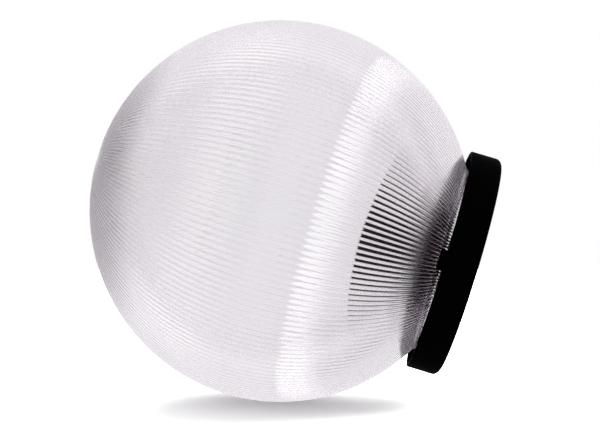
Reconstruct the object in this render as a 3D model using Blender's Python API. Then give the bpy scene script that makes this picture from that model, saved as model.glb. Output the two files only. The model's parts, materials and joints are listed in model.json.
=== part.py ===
"""Globe luminaire with a clear prismatic shade on a shallow round base.

The fitting stands on the flat back of its base at the origin, with +Z along the axis of the globe.
The globe drops into the base with three lugs and is turned to lock. Inside are a seal, a screw
lampholder with its lamp, a terminal block, two leads and a cable grommet. Lengths are in metres.
"""

import math

import bmesh
import bpy
from mathutils import Matrix, Vector

# Fits
FIT = 0.0003                    # gap between pieces that touch
RUNNING_GAP = 0.0008            # gap beside the turning neck

# Globe
GLOBE_RADIUS = 0.100            # to the crests of the prisms
GLOBE_WALL = 0.0030             # from the deepest valley to the smooth inside
PRISM_COUNT = 200
PRISM_SLOPE = math.radians(30)  # of each prism face to the sphere
UPPER_BANDS = 5                 # rows of facets from the pole to the equator
LOWER_BANDS = 3                 # and on from there to the neck
GLOBE_INNER_SEGMENTS = 40
NECK_RADIUS = 0.0490
NECK_WALL = 0.0028
NECK_SHOULDER = 0.0007          # step from the prism ends in to the neck
NECK_EDGE = 0.0004
LUG_COUNT = 3
LUG_WIDTH = 0.012
LUG_REACH = 0.0040
LUG_HEIGHT = 0.0030
LUG_RISE = 0.0020               # from the end of the neck up to a lug
LUG_AZIMUTH = math.radians(-90)
LOCK_TURN = math.radians(20)

# Base
BASE_DEPTH = 0.0165
BASE_WALL = 0.0026
BASE_FLOOR = 0.0030
BASE_SEGMENTS = 42
BACK_FILLET = 0.0032
RIM_EDGE = 0.0006
FLOOR_FILLET = 0.0010
CHANNEL_WIDTH = 0.0071          # open channel from the neck to the rim
FLANGE_THICKNESS = 0.0025
ENTRY_CLEARANCE = 0.0008        # round a lug in its entry slot
STOP_WIDTH = 0.0040
TAB_WIDTH = 0.0105              # index tab on the rim
TAB_RISE = 0.0032
TAB_INSET = 0.0003              # from both sides of the rim
SEAL_RIB_HEIGHT = 0.0014
SEAL_RIB_WIDTH = 0.0013
MOUNT_SLOT_SPACING = 0.068
MOUNT_SLOT_WIDTH = 0.0055
MOUNT_SLOT_LENGTH = 0.0110
PEDESTAL_RADIUS = 0.0220
PEDESTAL_HEIGHT = 0.0050
PEDESTAL_DRAFT = 0.0006

# Seal ring under the neck
SEAL_THICKNESS = 0.0026
SEAL_OVERHANG = 0.0005          # past the inside of the neck
SEAL_EDGE = 0.0005

# Cable grommet
GROMMET_HOLE = 0.0065
GROMMET_LIP = 0.0024            # flange beyond the hole
GROMMET_LIP_THICKNESS = 0.0016
GROMMET_BOSS_RISE = 0.0030
GROMMET_BOSS_WALL = 0.0035
GROMMET_BORE = 0.0045
GROMMET_SEAT_DEPTH = 0.0022     # recess in the back of the base
GROMMET_SETBACK = 0.0004        # from the back of the base
GROMMET_MEMBRANE = 0.0009

# Lampholder
FOOT_RADIUS = 0.0210
FOOT_HEIGHT = 0.0085
FOOT_FLOOR = 0.0025
FOOT_CAVITY_RADIUS = 0.0150
LEAD_NOTCH_WIDTH = 0.0190
INSERT_RADIUS = 0.0172
INSERT_HEIGHT = 0.0174
WELL_RADIUS = 0.0075
WELL_DEPTH = 0.0080
SHELL_RADIUS = 0.0136           # inside the screw shell
SHELL_THICKNESS = 0.0005
SHELL_HEIGHT = 0.0205
SHELL_LIP_RADIUS = 0.0080
SKIRT_RADIUS = 0.0205
SKIRT_TOP_RADIUS = 0.0198
SKIRT_RISE = 0.0032             # above the screw shell
SKIRT_LIP = 0.0020
SKIRT_STEP = 0.0120             # height of the wider lower part
HOLDER_SEGMENTS = 24
CONTACT_WIDTH = 0.0048
CONTACT_THICKNESS = 0.0006
CONTACT_FLAT = 0.0017           # half the flat top of the spring leaf
CONTACT_TAIL = 0.0031           # reach of its free end
POST_RADIUS = 0.0026
POST_DROP = 0.0055              # below the insert
POST_STEM_RADIUS = 0.0015
LIVE_POST_REACH = 0.0049        # from the axis
NEUTRAL_POST_REACH = 0.0109
LIVE_POST_AZIMUTH = math.radians(45)
NEUTRAL_POST_AZIMUTH = math.radians(135)

# Screws
HOLDER_SCREW_SPACING = 0.0210
SCREW_RADIUS = 0.0016
SCREW_HEAD_RADIUS = 0.0031
SCREW_HEAD_HEIGHT = 0.0020
SCREW_CHAMFER = 0.0005          # at the point and round the head
HOLDER_SCREW_LENGTH = 0.0082
SCREW_SEGMENTS = 10

# Terminal block
BLOCK_WIDTH = 0.0200
BLOCK_DEPTH = 0.0160
BLOCK_HEIGHT = 0.0125
BLOCK_PAD_HEIGHT = 0.0040
BLOCK_PAD_DEPTH = 0.0080
BLOCK_POLE_SPACING = 0.0095
SLEEVE_RADIUS = 0.0026
SLEEVE_BORE = 0.0015
SLEEVE_RISE = 0.0060            # of the sleeve's axis above the foot of the block
CLAMP_SPACING = 0.0090
CLAMP_SCREW_RADIUS = 0.0013
CLAMP_SCREW_SINK = 0.0012       # of the head below the top of the block
CLAMP_SCREW_LENGTH = 0.0022
BLOCK_SCREW_LENGTH = 0.0155
BLOCK_EDGE = 0.0008

# Leads
LEAD_RADIUS = 0.0011
LEAD_POINTS = 9

# Lamp
LAMP_TIP_RADIUS = 0.0044
LAMP_TIP_HEIGHT = 0.0013
LAMP_TIP_CHAMFER = 0.0013
LAMP_INSULATOR_HEIGHT = 0.0040
LAMP_CAP_RADIUS = 0.0131
LAMP_CAP_WALL = 0.0006
LAMP_CAP_HEIGHT = 0.0205
LAMP_CAP_MOUTH = 0.0090
LAMP_BULB_RADIUS = 0.0300
LAMP_BULB_WALL = 0.0010
LAMP_BULB_HEIGHT = 0.0820       # from the top of the cap to the top of the bulb
LAMP_FLARE_ANGLE = 40           # below the widest part, where the round of the bulb meets its flare
STEM_FLANGE_THICKNESS = 0.0015
STEM_TUBE_RADIUS = 0.0036
STEM_TUBE_HEIGHT = 0.0250
STEM_ROD_RADIUS = 0.0013
STEM_ROD_HEIGHT = 0.0240
STEM_BUTTON_RADIUS = 0.0021
STEM_BUTTON_HEIGHT = 0.0030
FILAMENT_WIRE_RADIUS = 0.0005
FILAMENT_REACH = 0.0130         # from the axis to each end of the filament
FILAMENT_BEND = 0.0015
LAMP_SEGMENTS = 16

# Places that follow from the sizes, from the back of the base upwards
RIM_RADIUS = NECK_RADIUS + CHANNEL_WIDTH
BASE_RADIUS = RIM_RADIUS + BASE_WALL
FLANGE_RADIUS = NECK_RADIUS + RUNNING_GAP
SEAL_Z = BASE_FLOOR + FIT
NECK_END_Z = SEAL_Z + SEAL_THICKNESS + FIT
LUG_Z = NECK_END_Z + LUG_RISE
FLANGE_Z = LUG_Z + LUG_HEIGHT + FIT
FLANGE_TOP_Z = FLANGE_Z + FLANGE_THICKNESS
GLOBE_Z = BASE_DEPTH + math.sqrt(GLOBE_RADIUS**2 - (NECK_RADIUS + NECK_SHOULDER) ** 2)
PRISM_DEPTH = math.pi * GLOBE_RADIUS / PRISM_COUNT * math.tan(PRISM_SLOPE)
GLOBE_INNER_RADIUS = GLOBE_RADIUS - PRISM_DEPTH - GLOBE_WALL
NECK_INNER_RADIUS = NECK_RADIUS - NECK_WALL
SEAL_INNER_RADIUS = NECK_INNER_RADIUS - SEAL_OVERHANG
RIB_OUTER_RADIUS = SEAL_INNER_RADIUS - FIT
RIB_INNER_RADIUS = RIB_OUTER_RADIUS - SEAL_RIB_WIDTH
PEDESTAL_Z = BASE_FLOOR + PEDESTAL_HEIGHT
FOOT_Z = PEDESTAL_Z + FIT
FOOT_FLOOR_Z = FOOT_Z + FOOT_FLOOR
FOOT_TOP_Z = FOOT_Z + FOOT_HEIGHT
INSERT_Z = FOOT_TOP_Z + FIT
INSERT_TOP_Z = INSERT_Z + INSERT_HEIGHT
WELL_Z = INSERT_TOP_Z - WELL_DEPTH
SHELL_Z = INSERT_TOP_Z + FIT
SHELL_TOP_Z = SHELL_Z + SHELL_HEIGHT
SKIRT_TOP_Z = SHELL_TOP_Z + SKIRT_RISE
CONTACT_Z = WELL_Z + FIT
CONTACT_RISE = WELL_DEPTH / 2
LAMP_Z = CONTACT_Z + CONTACT_RISE + CONTACT_THICKNESS + FIT
INSULATOR_Z = LAMP_Z + LAMP_TIP_HEIGHT + FIT
CAP_Z = INSULATOR_Z + LAMP_INSULATOR_HEIGHT
CAP_TOP_Z = CAP_Z + LAMP_CAP_HEIGHT
BULB_Z = CAP_TOP_Z - LAMP_CAP_HEIGHT / 2
BULB_TOP_Z = CAP_TOP_Z + LAMP_BULB_HEIGHT
BULB_NECK_RADIUS = LAMP_CAP_RADIUS - LAMP_CAP_WALL - FIT
STEM_FLANGE_RADIUS = BULB_NECK_RADIUS - LAMP_BULB_WALL - FIT
STEM_TUBE_Z = BULB_Z + STEM_TUBE_HEIGHT
STEM_TOP_Z = STEM_TUBE_Z + STEM_ROD_HEIGHT
FILAMENT_Z = STEM_TOP_Z + FIT + FILAMENT_WIRE_RADIUS
BLOCK_Z = BASE_FLOOR + BLOCK_PAD_HEIGHT + FIT
BLOCK_TOP_Z = BLOCK_Z + BLOCK_HEIGHT
SLEEVE_Z = BLOCK_Z + SLEEVE_RISE
GROMMET_BOSS_Z = BASE_FLOOR + GROMMET_BOSS_RISE

# The grommet and the terminal block stand midway between the pedestal and the rib, at -Y and +Y
GROMMET_PLACE = (0.0, -(PEDESTAL_RADIUS + RIB_INNER_RADIUS) / 2)
BLOCK_REACH = math.sqrt(RIB_INNER_RADIUS**2 - (BLOCK_WIDTH / 2) ** 2)
BLOCK_DISTANCE = (PEDESTAL_RADIUS + BLOCK_REACH) / 2

EMBED = 0.0005                  # overlap of shapes that become one body
OVERCUT = 0.0010                # a cutter's reach past the wall it cuts
SHARP_ANGLE = math.radians(32)

COLOURS = {
    "black plastic": ((0.012, 0.012, 0.014), 0.42, 0.0),
    "clear acrylic": ((0.90, 0.885, 0.905), 0.05, 0.0),
    "black rubber": ((0.020, 0.020, 0.021), 0.75, 0.0),
    "dark bakelite": ((0.020, 0.013, 0.011), 0.35, 0.0),
    "white ceramic": ((0.80, 0.78, 0.74), 0.40, 0.0),
    "nickel": ((0.66, 0.64, 0.60), 0.28, 1.0),
    "brass": ((0.72, 0.52, 0.24), 0.30, 1.0),
    "zinc steel": ((0.55, 0.56, 0.58), 0.35, 1.0),
    "grey polyamide": ((0.09, 0.09, 0.095), 0.50, 0.0),
    "brown insulation": ((0.16, 0.055, 0.025), 0.50, 0.0),
    "blue insulation": ((0.025, 0.12, 0.36), 0.50, 0.0),
    "solder": ((0.60, 0.60, 0.61), 0.40, 1.0),
    "dark glass": ((0.025, 0.018, 0.032), 0.15, 0.0),
    "clear glass": ((0.96, 0.97, 0.97), 0.02, 0.0),
    "tungsten": ((0.32, 0.31, 0.30), 0.40, 1.0),
}


def clear_scene():
    for obj in list(bpy.data.objects):
        bpy.data.objects.remove(obj, do_unlink=True)


def finish_material(finish):
    """The Principled material of one finish, made once."""
    found = bpy.data.materials.get(finish)
    if found:
        return found
    colour, roughness, metallic = COLOURS[finish]
    made = bpy.data.materials.new(finish)
    made.use_nodes = True
    shader = made.node_tree.nodes["Principled BSDF"]
    shader.inputs["Base Color"].default_value = (*colour, 1.0)
    shader.inputs["Roughness"].default_value = roughness
    shader.inputs["Metallic"].default_value = metallic
    if finish in ("clear acrylic", "clear glass"):
        shader.inputs["Transmission Weight"].default_value = 1.0
        shader.inputs["IOR"].default_value = 1.49
    return made


def place(name, shape, finish=None, parent=None, at=(0.0, 0.0, 0.0), turn=0.0):
    """An object from a bmesh. Without a finish it is a hidden tool for a Boolean."""
    bmesh.ops.recalc_face_normals(shape, faces=shape.faces)
    mesh = bpy.data.meshes.new(name)
    shape.to_mesh(mesh)
    shape.free()
    mesh.shade_smooth()
    mesh.set_sharp_from_angle(angle=SHARP_ANGLE)
    obj = bpy.data.objects.new(name, mesh)
    bpy.context.scene.collection.objects.link(obj)
    obj.location = at
    obj.rotation_euler = (0.0, 0.0, turn)
    obj.parent = parent
    if finish is None:
        obj.hide_render = True
        obj.display_type = "WIRE"
    else:
        mesh.materials.append(finish_material(finish))
    return obj


def frame_axis(name, height=0.0):
    """An empty on the axis of the fitting, which a moving group hangs from."""
    empty = bpy.data.objects.new(name, None)
    empty.location = (0.0, 0.0, height)
    bpy.context.scene.collection.objects.link(empty)
    return empty


def boolean(obj, tool, operation):
    """The exact solver leaves open edges in the floor of the base, so closed meshes meet as manifolds."""
    modifier = obj.modifiers.new(tool.name, "BOOLEAN")
    modifier.operation = operation
    modifier.solver = "MANIFOLD"
    modifier.object = tool


def cut(obj, *tools):
    for tool in tools:
        boolean(obj, tool, "DIFFERENCE")


def fuse(obj, *tools):
    for tool in tools:
        boolean(obj, tool, "UNION")


def arc(centre, radius, start, stop, steps):
    """Points (r, z) of an arc, with angles in degrees from +r towards +z."""
    angles = [math.radians(start + (stop - start) * i / steps) for i in range(steps + 1)]
    return [(centre[0] + radius * math.cos(a), centre[1] + radius * math.sin(a)) for a in angles]


def turned(profile, segments, closed=True):
    """A body turned about Z from points (r, z). An open profile ends on the axis."""
    shape = bmesh.new()
    points = [shape.verts.new((r, 0.0, z)) for r, z in profile]
    edges = [shape.edges.new(pair) for pair in zip(points, points[1:])]
    if closed:
        edges.append(shape.edges.new((points[-1], points[0])))
    bmesh.ops.spin(shape, geom=points + edges, cent=(0, 0, 0), axis=(0, 0, 1),
                   angle=2 * math.pi, steps=segments, use_merge=True)
    bmesh.ops.remove_doubles(shape, verts=shape.verts, dist=1e-6)
    return shape


def prism(outline, low, high):
    """A straight body from a closed outline of points (x, y)."""
    shape = bmesh.new()
    face = shape.faces.new([shape.verts.new((x, y, low)) for x, y in outline])
    grown = bmesh.ops.extrude_face_region(shape, geom=[face])["geom"]
    lifted = [part for part in grown if isinstance(part, bmesh.types.BMVert)]
    bmesh.ops.translate(shape, verts=lifted, vec=(0, 0, high - low))
    return shape


def box(size, centre, edge=0.0):
    shape = bmesh.new()
    made = bmesh.ops.create_cube(shape, size=1.0)
    bmesh.ops.scale(shape, verts=made["verts"], vec=size)
    bmesh.ops.translate(shape, verts=made["verts"], vec=centre)
    if edge:
        bmesh.ops.bevel(shape, geom=shape.edges[:], offset=edge, segments=1, affect="EDGES")
    return shape


def ring_sector(inner, outer, low, high, width, azimuth, steps=4):
    """A block bent round the axis, its width measured along its outer side."""
    half = width / outer / 2
    angles = [azimuth - half + 2 * half * i / steps for i in range(steps + 1)]
    outline = [(outer * math.cos(a), outer * math.sin(a)) for a in angles]
    outline += [(inner * math.cos(a), inner * math.sin(a)) for a in reversed(angles)]
    return prism(outline, low, high)


def sectors(*sector_args, turn=0.0):
    """One ring sector at each lug, in one mesh."""
    shape = bmesh.new()
    for i in range(LUG_COUNT):
        azimuth = LUG_AZIMUTH + turn + 2 * math.pi * i / LUG_COUNT
        copy = ring_sector(*sector_args, azimuth)
        scratch = bpy.data.meshes.new("sector")
        copy.to_mesh(scratch)
        copy.free()
        shape.from_mesh(scratch)
        bpy.data.meshes.remove(scratch)
    return shape


def screw(head_radius, head_height, radius, length):
    """A round-headed screw standing on the underside of its head at the origin."""
    crown = head_height / 2
    profile = [(0.0, -length), (radius - SCREW_CHAMFER, -length), (radius, -length + SCREW_CHAMFER),
               (radius, 0.0), (head_radius, 0.0), (head_radius, crown),
               (head_radius - SCREW_CHAMFER, head_height), (0.0, head_height)]
    return turned(profile, SCREW_SEGMENTS, closed=False)


def stitch(shape, lower, upper):
    """Faces between two closed rings that may differ in their count of points."""
    if len(lower) == len(upper):
        for i in range(len(lower)):
            j = (i + 1) % len(lower)
            shape.faces.new((lower[i], lower[j], upper[j], upper[i]))
        return
    marks = [(i / len(ring), ring) for ring in (lower, upper) for i in range(1, len(ring) + 1)]
    counts = {id(lower): 0, id(upper): 0}
    for _, ring in sorted(marks, key=lambda mark: mark[0]):
        other = upper if ring is lower else lower
        start = counts[id(ring)]
        counts[id(ring)] += 1
        corners = (ring[start], ring[(start + 1) % len(ring)], other[counts[id(other)] % len(other)])
        shape.faces.new(corners)


def ring_of(shape, radii, height):
    """A ring of points whose radius and height may alternate between crest and valley."""
    count = len(radii)
    points = []
    for i, radius in enumerate(radii):
        angle = LUG_AZIMUTH + 2 * math.pi * i / count
        level = height[i] if isinstance(height, list) else height
        points.append(shape.verts.new((radius * math.cos(angle), radius * math.sin(angle), level)))
    return points


def prism_ring(shape, polar):
    """One ring of the sphere, alternating between prism crests and valleys."""
    depth = PRISM_DEPTH * math.sin(polar)
    reach = [GLOBE_RADIUS - depth * (i % 2) for i in range(2 * PRISM_COUNT)]
    heights = [GLOBE_Z + r * math.cos(polar) for r in reach]
    return ring_of(shape, [r * math.sin(polar) for r in reach], heights)


def band_angles(last):
    """Polar angles of the rings below the pole, one of them at the equator."""
    upper = [math.pi / 2 * band / UPPER_BANDS for band in range(1, UPPER_BANDS + 1)]
    lower = last - math.pi / 2
    return upper + [math.pi / 2 + lower * band / LOWER_BANDS for band in range(1, LOWER_BANDS + 1)]


def cap_ring(shape, ring, apex_z):
    apex = shape.verts.new((0.0, 0.0, apex_z))
    for i in range(len(ring)):
        shape.faces.new((ring[i], ring[(i + 1) % len(ring)], apex))


def globe_shape():
    """The prismatic sphere, its plain neck and its smooth inside, as one shell."""
    shape = bmesh.new()
    plain = GLOBE_INNER_SEGMENTS
    last = math.pi - math.asin((NECK_RADIUS + NECK_SHOULDER) / GLOBE_RADIUS)
    rings = [prism_ring(shape, polar) for polar in band_angles(last)]
    inner_last = math.pi - math.asin(NECK_INNER_RADIUS / GLOBE_INNER_RADIUS)
    inner_join_z = GLOBE_Z + GLOBE_INNER_RADIUS * math.cos(inner_last)
    neck = [
        (NECK_RADIUS, BASE_DEPTH - NECK_EDGE),
        (NECK_RADIUS, NECK_END_Z + NECK_EDGE),
        (NECK_RADIUS - NECK_EDGE, NECK_END_Z),
        (NECK_INNER_RADIUS + NECK_EDGE, NECK_END_Z),
        (NECK_INNER_RADIUS, NECK_END_Z + NECK_EDGE),
        (NECK_INNER_RADIUS, inner_join_z),
    ]
    inside = [(GLOBE_INNER_RADIUS * math.sin(a), GLOBE_Z + GLOBE_INNER_RADIUS * math.cos(a))
              for a in reversed(band_angles(inner_last)[:-1])]
    rings += [ring_of(shape, [radius] * plain, height) for radius, height in neck + inside]
    for lower, upper in zip(rings, rings[1:]):
        stitch(shape, lower, upper)
    cap_ring(shape, rings[0], GLOBE_Z + GLOBE_RADIUS)
    cap_ring(shape, rings[-1], GLOBE_Z + GLOBE_INNER_RADIUS)
    return shape


def make_globe(parent):
    globe = place("globe", globe_shape(), "clear acrylic", parent)
    lugs = sectors(NECK_RADIUS - NECK_WALL / 2, NECK_RADIUS + LUG_REACH, LUG_Z, LUG_Z + LUG_HEIGHT,
                   LUG_WIDTH)
    fuse(globe, place("globe_lugs", lugs))


def make_seal(parent):
    inner = SEAL_INNER_RADIUS
    outer = NECK_RADIUS + FIT
    low, high, edge = SEAL_Z, SEAL_Z + SEAL_THICKNESS, SEAL_EDGE
    profile = [(outer, low), (outer, high - edge), (outer - edge, high), (inner + edge, high),
               (inner, high - edge), (inner, low)]
    place("globe_seal", turned(profile, GLOBE_INNER_SEGMENTS), "black rubber", parent)


def base_profile():
    """Half section of the base, from the middle of its back round to the top of the pedestal."""
    rib_z = BASE_FLOOR + SEAL_RIB_HEIGHT
    profile = [(0.0, 0.0)]
    profile += arc((BASE_RADIUS - BACK_FILLET, BACK_FILLET), BACK_FILLET, -90, 0, 3)
    profile += arc((BASE_RADIUS - RIM_EDGE, BASE_DEPTH - RIM_EDGE), RIM_EDGE, 0, 90, 1)
    profile += arc((RIM_RADIUS + RIM_EDGE, BASE_DEPTH - RIM_EDGE), RIM_EDGE, 90, 180, 1)
    profile += [(RIM_RADIUS, FLANGE_TOP_Z), (FLANGE_RADIUS, FLANGE_TOP_Z)]
    profile += [(FLANGE_RADIUS, FLANGE_Z), (RIM_RADIUS, FLANGE_Z)]
    profile += arc((RIM_RADIUS - FLOOR_FILLET, BASE_FLOOR + FLOOR_FILLET), FLOOR_FILLET, 0, -90, 1)
    profile += [(RIB_OUTER_RADIUS, BASE_FLOOR), (RIB_OUTER_RADIUS, rib_z), (RIB_INNER_RADIUS, rib_z)]
    profile += [(RIB_INNER_RADIUS, BASE_FLOOR), (PEDESTAL_RADIUS, BASE_FLOOR)]
    profile += [(PEDESTAL_RADIUS - PEDESTAL_DRAFT, PEDESTAL_Z), (0.0, PEDESTAL_Z)]
    return profile


def slot_outline(length, width, steps=6):
    """A straight slot with round ends, along X."""
    half = (length - width) / 2
    right = arc((half, 0.0), width / 2, -90, 90, steps)
    left = arc((-half, 0.0), width / 2, 90, 270, steps)
    return right + left


def make_base(parent):
    base = place("base", turned(base_profile(), BASE_SEGMENTS, closed=False), "black plastic", parent)
    lug_radius = NECK_RADIUS + LUG_REACH
    entry = sectors(FLANGE_RADIUS - OVERCUT, lug_radius + ENTRY_CLEARANCE, FLANGE_Z - OVERCUT,
                    FLANGE_TOP_Z + OVERCUT, LUG_WIDTH + 2 * ENTRY_CLEARANCE)
    stop_turn = LOCK_TURN + (LUG_WIDTH / 2 + ENTRY_CLEARANCE) / lug_radius + STOP_WIDTH / RIM_RADIUS / 2
    stop_reach = RIM_RADIUS - lug_radius + LUG_REACH / 2
    stops = sectors(RIM_RADIUS - stop_reach, RIM_RADIUS + BASE_WALL / 2, BASE_FLOOR - EMBED,
                    FLANGE_Z + EMBED, STOP_WIDTH, turn=-stop_turn)
    tab = ring_sector(RIM_RADIUS + TAB_INSET, BASE_RADIUS - TAB_INSET, BASE_DEPTH - BASE_WALL,
                      BASE_DEPTH + TAB_RISE, TAB_WIDTH, LUG_AZIMUTH)
    grommet_at = (*GROMMET_PLACE, 0.0)
    boss_radius = GROMMET_HOLE + GROMMET_BOSS_WALL
    boss = turned([(GROMMET_BORE, BASE_FLOOR - EMBED), (boss_radius, BASE_FLOOR - EMBED),
                   (boss_radius, GROMMET_BOSS_Z), (GROMMET_BORE, GROMMET_BOSS_Z)], HOLDER_SEGMENTS)
    seat_radius = GROMMET_HOLE + GROMMET_LIP + FIT
    hole = turned([(0.0, -OVERCUT), (seat_radius, -OVERCUT), (seat_radius, GROMMET_SEAT_DEPTH),
                   (GROMMET_HOLE, GROMMET_SEAT_DEPTH), (GROMMET_HOLE, GROMMET_BOSS_Z + OVERCUT),
                   (0.0, GROMMET_BOSS_Z + OVERCUT)], HOLDER_SEGMENTS, closed=False)
    pad = box((BLOCK_WIDTH, BLOCK_PAD_DEPTH, BLOCK_PAD_HEIGHT + EMBED),
              (0.0, BLOCK_DISTANCE, BASE_FLOOR + (BLOCK_PAD_HEIGHT - EMBED) / 2))
    fuse(base, place("base_stops", stops), place("base_tab", tab),
         place("base_grommet_boss", boss, at=grommet_at), place("base_block_pad", pad))
    half_step = math.pi / HOLDER_SEGMENTS
    hole = place("base_grommet_hole", hole, at=grommet_at, turn=half_step)
    cut(base, place("base_entry_slots", entry), hole)
    for side, name in ((-1, "left"), (1, "right")):
        slot = prism(slot_outline(MOUNT_SLOT_LENGTH, MOUNT_SLOT_WIDTH), -OVERCUT, BASE_FLOOR + OVERCUT)
        cut(base, place(f"base_mount_slot_{name}", slot, at=(side * MOUNT_SLOT_SPACING / 2, 0, 0)))
        pilot = pilot_hole(HOLDER_SCREW_LENGTH, FOOT_FLOOR_Z + FIT, PEDESTAL_Z)
        cut(base, place(f"base_holder_pilot_{name}", pilot, at=(side * HOLDER_SCREW_SPACING / 2, 0, 0)))
    block_pilot = pilot_hole(BLOCK_SCREW_LENGTH, BLOCK_TOP_Z - CLAMP_SCREW_SINK, BLOCK_Z)
    cut(base, place("base_block_pilot", block_pilot, at=(0, BLOCK_DISTANCE, 0)))


def pilot_hole(screw_length, head_z, mouth_z):
    radius, low, high = SCREW_RADIUS + FIT, head_z - screw_length - FIT, mouth_z + OVERCUT
    return turned([(0.0, low), (radius, low), (radius, high), (0.0, high)], SCREW_SEGMENTS, closed=False)


def make_grommet(parent):
    lip = GROMMET_HOLE + GROMMET_LIP
    waist = GROMMET_HOLE - FIT
    low = GROMMET_SETBACK
    seat = GROMMET_SEAT_DEPTH - FIT
    shoulder = GROMMET_BOSS_Z + FIT
    top = shoulder + GROMMET_LIP_THICKNESS
    profile = [(GROMMET_BORE, low), (lip, low), (lip, seat), (waist, seat), (waist, shoulder),
               (lip, shoulder), (lip - GROMMET_LIP_THICKNESS / 2, top), (0.0, top),
               (0.0, top - GROMMET_MEMBRANE), (GROMMET_BORE, top - GROMMET_MEMBRANE)]
    place("cable_grommet", turned(profile, HOLDER_SEGMENTS), "black rubber", parent,
          at=(*GROMMET_PLACE, 0.0))


def make_lampholder(parent):
    foot = turned([(0.0, FOOT_Z), (FOOT_RADIUS, FOOT_Z), (FOOT_RADIUS, FOOT_TOP_Z),
                   (FOOT_CAVITY_RADIUS, FOOT_TOP_Z), (FOOT_CAVITY_RADIUS, FOOT_FLOOR_Z),
                   (0.0, FOOT_FLOOR_Z)], HOLDER_SEGMENTS, closed=False)
    foot = place("lampholder_foot", foot, "dark bakelite", parent)
    notch_depth = FOOT_RADIUS + OVERCUT
    notch = box((LEAD_NOTCH_WIDTH, notch_depth, FOOT_HEIGHT),
                (0.0, notch_depth / 2, FOOT_FLOOR_Z + FIT + FOOT_HEIGHT / 2))
    cut(foot, place("foot_lead_notch", notch))
    for side, name in ((-1, "left"), (1, "right")):
        at = (side * HOLDER_SCREW_SPACING / 2, 0.0, FOOT_FLOOR_Z + FIT)
        hole = turned([(0.0, FOOT_Z - OVERCUT), (SCREW_RADIUS + FIT, FOOT_Z - OVERCUT),
                       (SCREW_RADIUS + FIT, FOOT_FLOOR_Z + OVERCUT), (0.0, FOOT_FLOOR_Z + OVERCUT)],
                      SCREW_SEGMENTS, closed=False)
        cut(foot, place(f"foot_screw_hole_{name}", hole, at=(at[0], 0.0, 0.0)))
        fixing = screw(SCREW_HEAD_RADIUS, SCREW_HEAD_HEIGHT, SCREW_RADIUS, HOLDER_SCREW_LENGTH)
        place(f"lampholder_screw_{name}", fixing, "zinc steel", parent, at=at)
    make_insert(parent)
    shell_outer = SHELL_RADIUS + SHELL_THICKNESS
    lip_z = SHELL_Z + SHELL_THICKNESS
    shell = turned([(SHELL_LIP_RADIUS, SHELL_Z), (shell_outer, SHELL_Z), (shell_outer, SHELL_TOP_Z),
                    (SHELL_RADIUS, SHELL_TOP_Z), (SHELL_RADIUS, lip_z), (SHELL_LIP_RADIUS, lip_z)],
                   HOLDER_SEGMENTS)
    place("screw_shell", shell, "nickel", parent)
    bore = INSERT_RADIUS + FIT
    lip_radius = shell_outer + FIT
    step_z, lip_low = INSERT_Z + SKIRT_STEP, SKIRT_TOP_Z - SKIRT_LIP
    taper = SKIRT_RADIUS - SKIRT_TOP_RADIUS
    skirt = turned([(SKIRT_RADIUS, INSERT_Z), (SKIRT_RADIUS, step_z), (SKIRT_TOP_RADIUS, step_z + taper),
                    (SKIRT_TOP_RADIUS, SKIRT_TOP_Z - taper), (SKIRT_TOP_RADIUS - taper, SKIRT_TOP_Z),
                    (lip_radius, SKIRT_TOP_Z), (lip_radius, lip_low), (bore, lip_low - taper),
                    (bore, INSERT_Z)], HOLDER_SEGMENTS)
    place("lampholder_skirt", skirt, "dark bakelite", parent)


def polar_place(reach, azimuth):
    return reach * math.cos(azimuth), reach * math.sin(azimuth)


def make_insert(parent):
    insert = turned([(0.0, INSERT_Z), (INSERT_RADIUS, INSERT_Z), (INSERT_RADIUS, INSERT_TOP_Z),
                     (WELL_RADIUS, INSERT_TOP_Z), (WELL_RADIUS, WELL_Z), (0.0, WELL_Z)],
                    HOLDER_SEGMENTS, closed=False)
    insert = place("lampholder_insert", insert, "white ceramic", parent)
    posts = (("live", LIVE_POST_REACH, LIVE_POST_AZIMUTH, WELL_Z),
             ("neutral", NEUTRAL_POST_REACH, NEUTRAL_POST_AZIMUTH, INSERT_TOP_Z))
    for pole, reach, azimuth, top in posts:
        at = (*polar_place(reach, azimuth), 0.0)
        hole_radius = POST_STEM_RADIUS + FIT
        hole = turned([(0.0, INSERT_Z - OVERCUT), (hole_radius, INSERT_Z - OVERCUT),
                       (hole_radius, top + OVERCUT), (0.0, top + OVERCUT)], SCREW_SEGMENTS, closed=False)
        cut(insert, place(f"insert_hole_{pole}", hole, at=at))
        shoulder, low = INSERT_Z - FIT, INSERT_Z - FIT - POST_DROP
        post = turned([(0.0, low), (POST_RADIUS, low), (POST_RADIUS, shoulder),
                       (POST_STEM_RADIUS, shoulder), (POST_STEM_RADIUS, top), (0.0, top)],
                      SCREW_SEGMENTS, closed=False)
        place(f"terminal_post_{pole}", post, "brass", parent, at=at)
    contact_reach = WELL_RADIUS - CONTACT_WIDTH / 2
    low, high, thick = CONTACT_Z, CONTACT_Z + CONTACT_RISE, CONTACT_THICKNESS
    underside = [(contact_reach, low), (-contact_reach, low), (-contact_reach, high - thick),
                 (-CONTACT_FLAT, high + thick), (CONTACT_FLAT, high + thick),
                 (CONTACT_TAIL, high - thick)]
    inside = [(CONTACT_TAIL - thick, high - 2 * thick), (CONTACT_FLAT - thick / 2, high),
              (-CONTACT_FLAT + thick / 2, high), (-contact_reach + thick, high - 2 * thick),
              (-contact_reach + thick, low + thick), (contact_reach, low + thick)]
    leaf = prism(underside + inside, -CONTACT_WIDTH / 2, CONTACT_WIDTH / 2)
    bmesh.ops.rotate(leaf, verts=leaf.verts, cent=(0, 0, 0), matrix=Matrix.Rotation(math.pi / 2, 3, "X"))
    place("centre_contact", leaf, "brass", parent, turn=LIVE_POST_AZIMUTH)


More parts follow.
